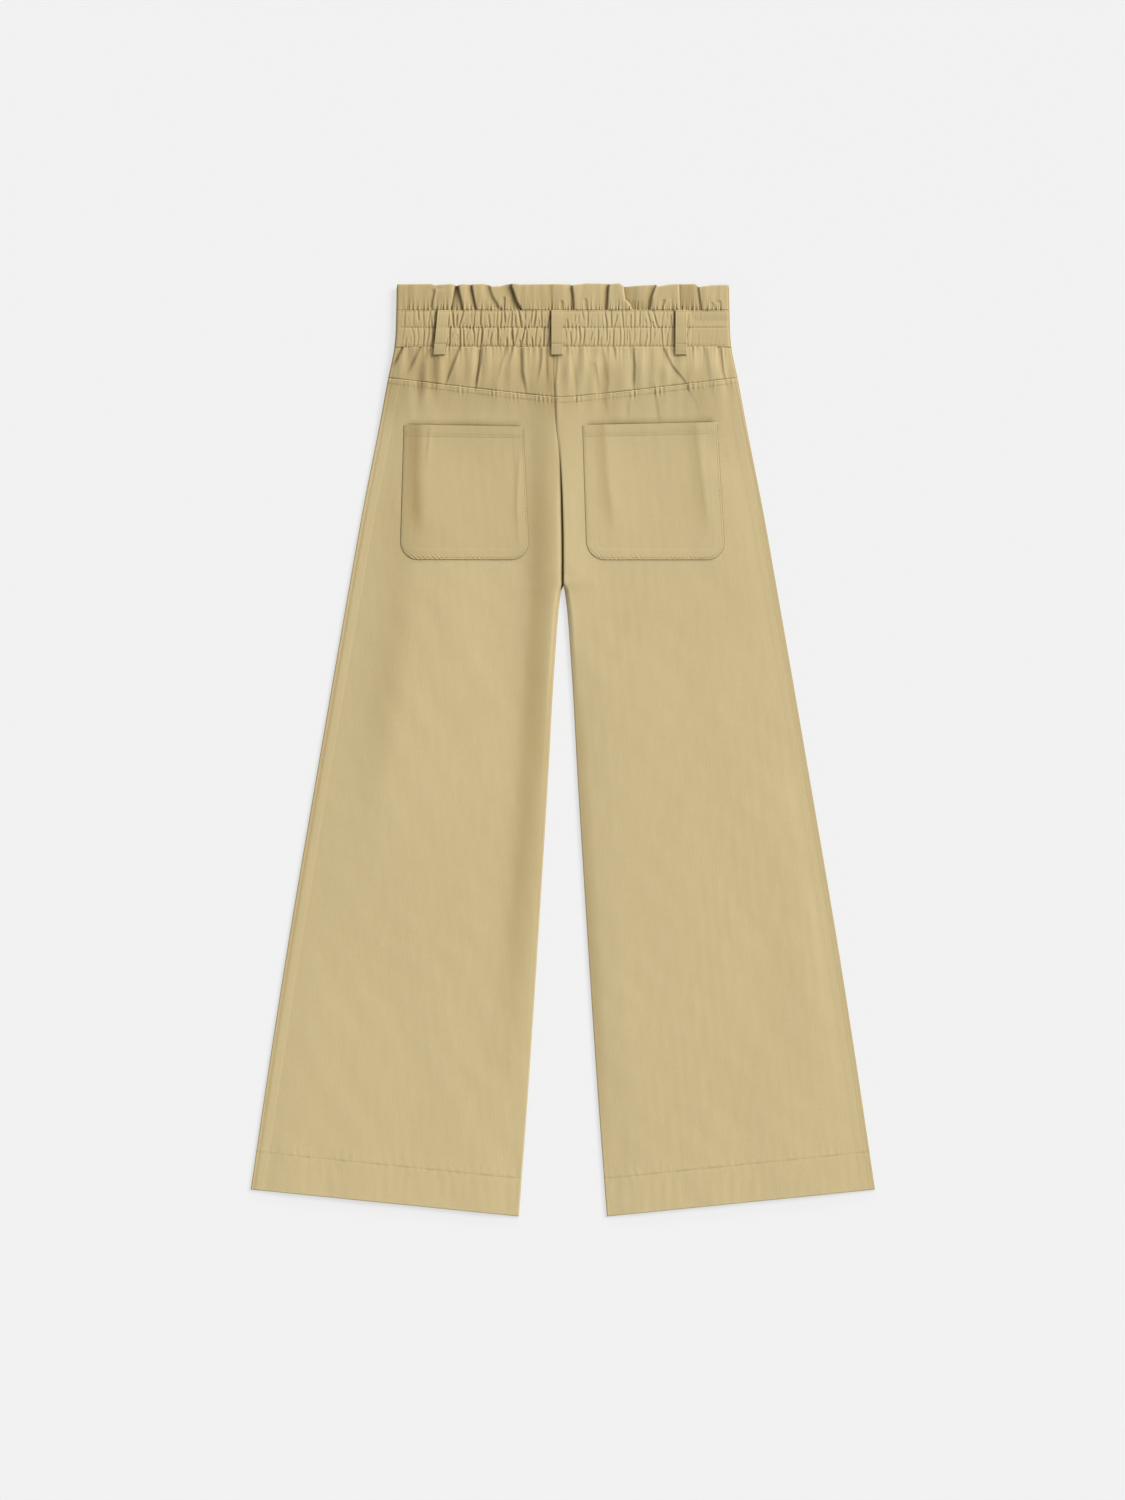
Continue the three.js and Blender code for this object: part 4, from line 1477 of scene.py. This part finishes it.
class NodeBench:
    """Makes a material's nodes."""

    def __init__(self, name: str) -> None:
        """Starts a material with a Principled shader."""
        self.material = bpy.data.materials.new(name)
        self.material.use_nodes = True
        self.tree = self.material.node_tree

    def fill(self, node: Node, values: dict) -> Node:
        """Sets or links a node's sockets, named with _ for a space."""
        for name, value in values.items():
            join(self.tree, node.inputs[name.replace("_", " ")], value)
        return node

    def add(self, kind: str, settings: dict | None = None, **values: object) -> Node:
        """Adds a node.

        Args:
            kind: the node's type.
            settings: its properties, set before its sockets.
            values: numbers, colours or Values for its sockets, with _ for a space.

        Returns:
            The node.
        """
        node = self.tree.nodes.new(kind)
        for key, value in (settings or {}).items():
            setattr(node, key, value)
        return self.fill(node, values)

    def value(self, node: Node, output: str) -> Value:
        """One output of a node as a Value."""
        return Value(self.tree, node.outputs[output])

    def noise(self, place: Value, size: float, detail: float, stretch: tuple = (1.0, 1.0, 1.0)) -> Value:
        """Noise at a place, drawn out by the stretch."""
        mapped = self.value(self.add("ShaderNodeMapping", Vector=place, Scale=stretch), "Vector")
        return self.value(self.add("ShaderNodeTexNoise", Vector=mapped, Scale=size, Detail=detail), "Fac")

    def mixed(self, share: Value, first: object, second: tuple, **settings: object) -> Value:
        """A colour laid over a first one, in the given share.

        Args:
            share: how much of the second colour shows.
            first: a colour, or its Value.
            second: a colour.
            settings: properties of the Mix node.

        Returns:
            The colour.
        """
        node = self.add("ShaderNodeMix", {"data_type": "RGBA", **settings})
        base = first if isinstance(first, Value) else (*first, 1.0)
        for slot, value in ((0, share), (6, base), (7, (*second, 1.0))):
            join(self.tree, node.inputs[slot], value)
        return Value(self.tree, node.outputs[2])

    def feed(self, **values: object) -> None:
        """Sets or links the shader's sockets, named with _ for a space."""
        self.fill(self.tree.nodes["Principled BSDF"], values)


@dataclass(frozen=True)
class TwillFinish:
    """Washed cotton twill: diagonal ribs, uneven yarns and a soft brushed face.

    Painted shade darkens it towards depth at first, and past deepest towards gloom; below zero it is
    painted light.
    """

    light: tuple = (0.592, 0.478, 0.258)
    dark: tuple = (0.500, 0.397, 0.203)
    depth: tuple = (0.45, 0.33, 0.08)
    deepest: float = 0.4
    gloom: tuple = (0.22, 0.19, 0.15)
    rib_pitch: float = 0.8
    rib_angle: float = 1.06
    sheen: float = 0.12

    def build(self) -> Material:
        """Makes the material, whose pattern follows the cloth coordinates."""
        bench = NodeBench("beige_twill")
        place = bench.value(bench.add("ShaderNodeUVMap", {"uv_map": "cloth"}), "UV")
        parts = bench.add("ShaderNodeSeparateXYZ", Vector=place)
        across, along = bench.value(parts, "X"), bench.value(parts, "Y")
        turn = 2 * math.pi / (self.rib_pitch * MM)
        over, up = turn * math.sin(self.rib_angle), turn * math.cos(self.rib_angle)
        ribs = (across * over + along * up).sine()
        slubs = bench.noise(place, 2.0, 2.0, (700.0, 26.0, 1.0)) - 0.5
        yarns = bench.noise(place, 1.0, 1.0, (1900.0, 260.0, 1.0)) - 0.5
        cross_yarns = bench.noise(place, 1.0, 1.0, (60.0, 1300.0, 1.0)) - 0.5
        wash = bench.noise(place, 1.0, 3.0, (14.0, 9.0, 1.0)) - 0.5
        blend = 0.5 + slubs * 0.6 + yarns * 0.4 + cross_yarns * 0.3 + wash * 0.35 + ribs * 0.05
        colour = bench.mixed(blend, self.dark, self.light, clamp_factor=True)
        # Painted shade and painted light: the shade attribute multiplies the cloth colour darker, and below
        # zero lighter.
        kept = bench.value(bench.add("ShaderNodeAttribute", {"attribute_name": "shade"}), "Fac")
        near, far = kept.at_most(self.deepest), (kept - self.deepest) * 1.3
        colour = bench.mixed(near, colour, self.depth, blend_type="MULTIPLY", clamp_factor=False)
        colour = bench.mixed(far, colour, self.gloom, blend_type="MULTIPLY", clamp_factor=True)
        relief = ribs * 0.5 + slubs * 1.6 + yarns * 0.9
        bump = bench.add("ShaderNodeBump", Height=relief, Strength=0.55, Distance=0.00012)
        bench.feed(
            Base_Color=colour,
            Normal=bench.value(bump, "Normal"),
            Roughness=0.88 - slubs * 0.08,
            Sheen_Weight=self.sheen,
            Sheen_Roughness=0.6,
            Specular_IOR_Level=0.25,
        )
        return bench.material


@dataclass(frozen=True)
class ThreadFinish:
    """Matching cotton thread."""

    light: tuple = (0.517, 0.407, 0.209)
    dark: tuple = (0.4042, 0.3182, 0.1634)

    def build(self) -> Material:
        """Makes the material."""
        bench = NodeBench("cotton_thread")
        place = bench.value(bench.add("ShaderNodeTexCoord"), "Object")
        speckle = bench.noise(place, 900.0, 2.0)
        bench.feed(Base_Color=bench.mixed(speckle, self.dark, self.light), Roughness=0.7)
        return bench.material


# ---------------------------------------------------------------- studio


@dataclass(frozen=True)
class Studio:
    """Plain pale floor that sweeps up far away, soft light from the upper right and a camera above."""

    lens: float = 85.0
    frame_height: float = 1612.5
    centre_x: float = -0.35
    centre_y: float = 0.2
    sides: int = 96
    sweep: tuple = ((26.0, -0.0002), (29.0, 0.3), (31.5, 1.2), (33.0, 3.0), (33.5, 7.5))
    floor_tone: float = 0.25
    floor_glow: float = 0.613
    sky: float = 0.45
    sun: float = 3.2
    sun_softness: float = 24.0
    sun_direction: tuple = (0.62, 0.46, 0.48)
    rim: float = 1.3
    rim_softness: float = 12.0
    rim_direction: tuple = (0.05, 0.96, 0.25)

    def floor(self) -> Object:
        """Makes the floor: a disc, and rings of the sweep as (radius, height) in metres."""
        mesh = bpy.data.meshes.new("floor")
        turns = [2 * math.pi * k / self.sides for k in range(self.sides)]
        corners = [(r * math.cos(a), r * math.sin(a), z) for r, z in self.sweep for a in turns]
        faces = [tuple(range(self.sides))]
        for first in range(0, (len(self.sweep) - 1) * self.sides, self.sides):
            for k in range(self.sides):
                here, after = first + k, first + (k + 1) % self.sides
                faces.append((after, here, here + self.sides, after + self.sides))
        mesh.from_pydata(corners, [], faces)
        mesh.shade_smooth()
        bench = NodeBench("paper")
        bench.feed(
            Base_Color=(self.floor_tone, self.floor_tone, self.floor_tone, 1.0),
            Emission_Color=(1.0, 1.0, 1.0, 1.0),
            Emission_Strength=self.floor_glow,
            Roughness=1.0,
            Specular_IOR_Level=0.0,
        )
        mesh.materials.append(bench.material)
        return placed("floor", mesh)

    def build(self) -> None:
        """Makes the floor, the lights and the camera."""
        scene = bpy.context.scene
        scene.view_settings.view_transform = "Standard"
        self.floor()
        world = bpy.data.worlds.new("sky")
        world.use_nodes = True
        world.node_tree.nodes["Background"].inputs["Strength"].default_value = self.sky
        world.node_tree.nodes["Background"].inputs["Color"].default_value = (1.0, 1.0, 1.0, 1.0)
        scene.world = world
        self.light("sun", self.sun, self.sun_softness, self.sun_direction)
        self.light("rim", self.rim, self.rim_softness, self.rim_direction)
        shot = bpy.data.cameras.new("camera")
        shot.lens = self.lens
        shot.clip_end = 20.0
        scene.camera = placed("camera", shot)
        distance = self.lens / shot.sensor_width * self.frame_height * MM
        scene.camera.location = (self.centre_x * MM, self.centre_y * MM, distance)

    @staticmethod
    def light(name: str, strength: float, softness: float, direction: tuple) -> None:
        """Adds a soft distant light that comes from the given direction."""
        lamp = bpy.data.lights.new(name, "SUN")
        lamp.energy = strength
        lamp.angle = math.radians(softness)
        x, y, z = direction
        tilt, turn = math.atan2(math.hypot(x, y), z), math.atan2(y, x) + math.pi / 2
        placed(name, lamp).rotation_euler = (tilt, 0.0, turn)


# ---------------------------------------------------------------- the whole garment


@dataclass(frozen=True)
class SewingLines:
    """Rows of topstitching, laid on the finished cloth."""

    outline: Outline
    form: BackForm
    band: Waistband
    pockets: Sequence[PatchPocket]
    lift: float = 0.12
    low_lift: float = 0.1

    def along_x(self, low: float, high: float, y_of: Callable, z_of: Callable) -> Field:
        """A row from low to high x."""
        x = np.arange(low, high, 1.0)
        y = y_of(x) * np.ones_like(x)
        return stacked(x, y, z_of(x, y) + self.lift)

    def band_rows(self) -> list[Field]:
        """Rows along the band's three lines of stitching."""
        outline, rows = self.outline, []
        for y in outline.band_rows():
            reach = float(outline.side(y)) - 8.0
            x = np.arange(-reach, reach, 0.8)
            z = outline.band_stack + self.band.relief(x, float(y))
            rows.append(stacked(x, y, z + self.low_lift))
        return rows

    def yoke_rows(self) -> list[Field]:
        """Two rows below the yoke seam on either side of the centre back."""
        outline = self.outline
        rows = []
        for below in (1.6, outline.yoke_row):
            for low, high in ((-181.0, -9.0), (-5.0, 181.0)):
                rows.append(self.along_x(low, high, lambda x: outline.yoke(x) - below, self.form.height))
        return rows

    def hem_rows(self) -> list[Field]:
        """The row that holds each hem."""
        outline = self.outline
        up = outline.hem_depth - outline.hem_row
        return [
            self.along_x(low, high, lambda x: outline.hem(x) + up, self.form.height)
            for low, high in ((-322.0, -50.0), (50.0, 322.0))
        ]

    def centre_row(self) -> Field:
        """The row beside the centre back seam."""
        y = np.arange(424.0, 190.0, -1.0)
        x = self.outline.centre(y) + 2.0
        return stacked(x, y, self.form.height(x, y) + self.low_lift)

    def pocket_rows(self, pocket: PatchPocket) -> list[Field]:
        """The rows round a pocket's sewn edge and across its mouth."""
        inset = 2.2
        corner, bend = pocket.corner - inset, pocket.foot + pocket.corner
        down = np.arange(pocket.top - 2.0, bend, -1.0)
        left, right = pocket.bounds(down)
        low_left, low_right = pocket.bounds(np.array(bend))
        turn = np.linspace(0, math.pi / 2, 28)
        across, drop = corner * np.cos(turn), corner * np.sin(turn)
        first = np.stack([left + inset, down], -1)
        arc = np.stack([low_left + pocket.corner - across, bend - drop], -1)
        other = np.stack([low_right - pocket.corner + drop, bend - across], -1)
        last = np.stack([right - inset, down], -1)[::-1]
        route = np.concatenate([first, arc, other, last])
        run = np.concatenate([[0], np.cumsum(np.hypot(*np.diff(route, axis=0).T))])
        at = np.arange(0, run[-1], 0.9)
        x, y = np.interp(at, run, route[:, 0]), np.interp(at, run, route[:, 1])
        edge = stacked(x, y, pocket.height(x, y) + self.lift)
        x = np.arange(pocket.x0_top + 3.5, pocket.x1_top - 3.5, 1.0)
        rows = [pocket.mouth_level(x) - down for down in pocket.mouth_rows()]
        return [edge, *(stacked(x, y, pocket.height(x, y) + self.lift) for y in rows)]

    def build(self, tree: NodeTree) -> None:
        """Lays every row."""
        size = StitchSize()
        fine = StitchSize(pitch=2.6, length=1.9, radius=0.2)
        stitched("stitches_band", self.band_rows(), fine, tree)
        stitched("stitches_yoke", [*self.yoke_rows(), self.centre_row()], size, tree)
        stitched("stitches_hems", self.hem_rows(), size, tree)
        for pocket in self.pockets:
            stitched(pocket.side.of("stitches_pocket"), self.pocket_rows(pocket), fine, tree)


def belt_loops(outline: Outline, form: BackForm, band: Waistband) -> list[BeltLoop]:
    """The three belt loops of the back."""

    def seat(x: Field, y: Field) -> Field:
        """Height of the cloth that a loop lies on."""
        if float(y) < outline.band_foot:
            return form.height(x, y * np.ones_like(x))
        return outline.band_stack + band.relief(x, float(min(y, outline.band_top - 1.0)))

    places = (("left", -128.0, -132.6), ("centre", -6.2, -6.2), ("right", 127.0, 126.6))
    return [BeltLoop(f"belt_loop_{name}", x_top, x_foot, seat) for name, x_top, x_foot in places]


def main() -> None:
    """Builds the trousers and the studio."""
    logging.basicConfig(level=logging.INFO, format="%(name)s: %(message)s")
    twill = TwillFinish().build()
    thread = ThreadFinish().build()
    outline = Outline()
    form = BackForm(outline)
    panels = BackPanels(outline, form)
    fronts = FrontPieces(outline)
    band = Waistband(outline)
    frill = Frill(outline)
    for side in Side:
        panels.leg(side, twill)
        panels.yoke(side, twill)
        fronts.leg(side, twill)
    band.back(twill)
    fronts.band(band.wall, twill)
    frill.back(twill)
    fronts.frill(frill.wall, twill)
    pockets = (
        PatchPocket(
            Side.LEFT, form, LEFT_POCKET_FOLDS, x0_top=-171, x1_top=-42, x0_foot=-175, x1_foot=-35.5,
            top=348.5, top_tilt=-2.2, pocket_shade=0.11, lean=0.14,
        ),
        PatchPocket(
            Side.RIGHT, form, RIGHT_POCKET_FOLDS, x0_top=21, x1_top=166, x0_foot=25.5, x1_foot=175,
            top=350.5, top_tilt=3.2, pocket_shade=0.02, lean=0.04,
        ),
    )
    for pocket in pockets:
        pocket.build(twill)
    for loop in belt_loops(outline, form, band):
        loop.build(twill)
    SewingLines(outline, form, band, pockets).build(stitch_tree(thread))
    Studio().build()


if __name__ == "__main__":
    main()
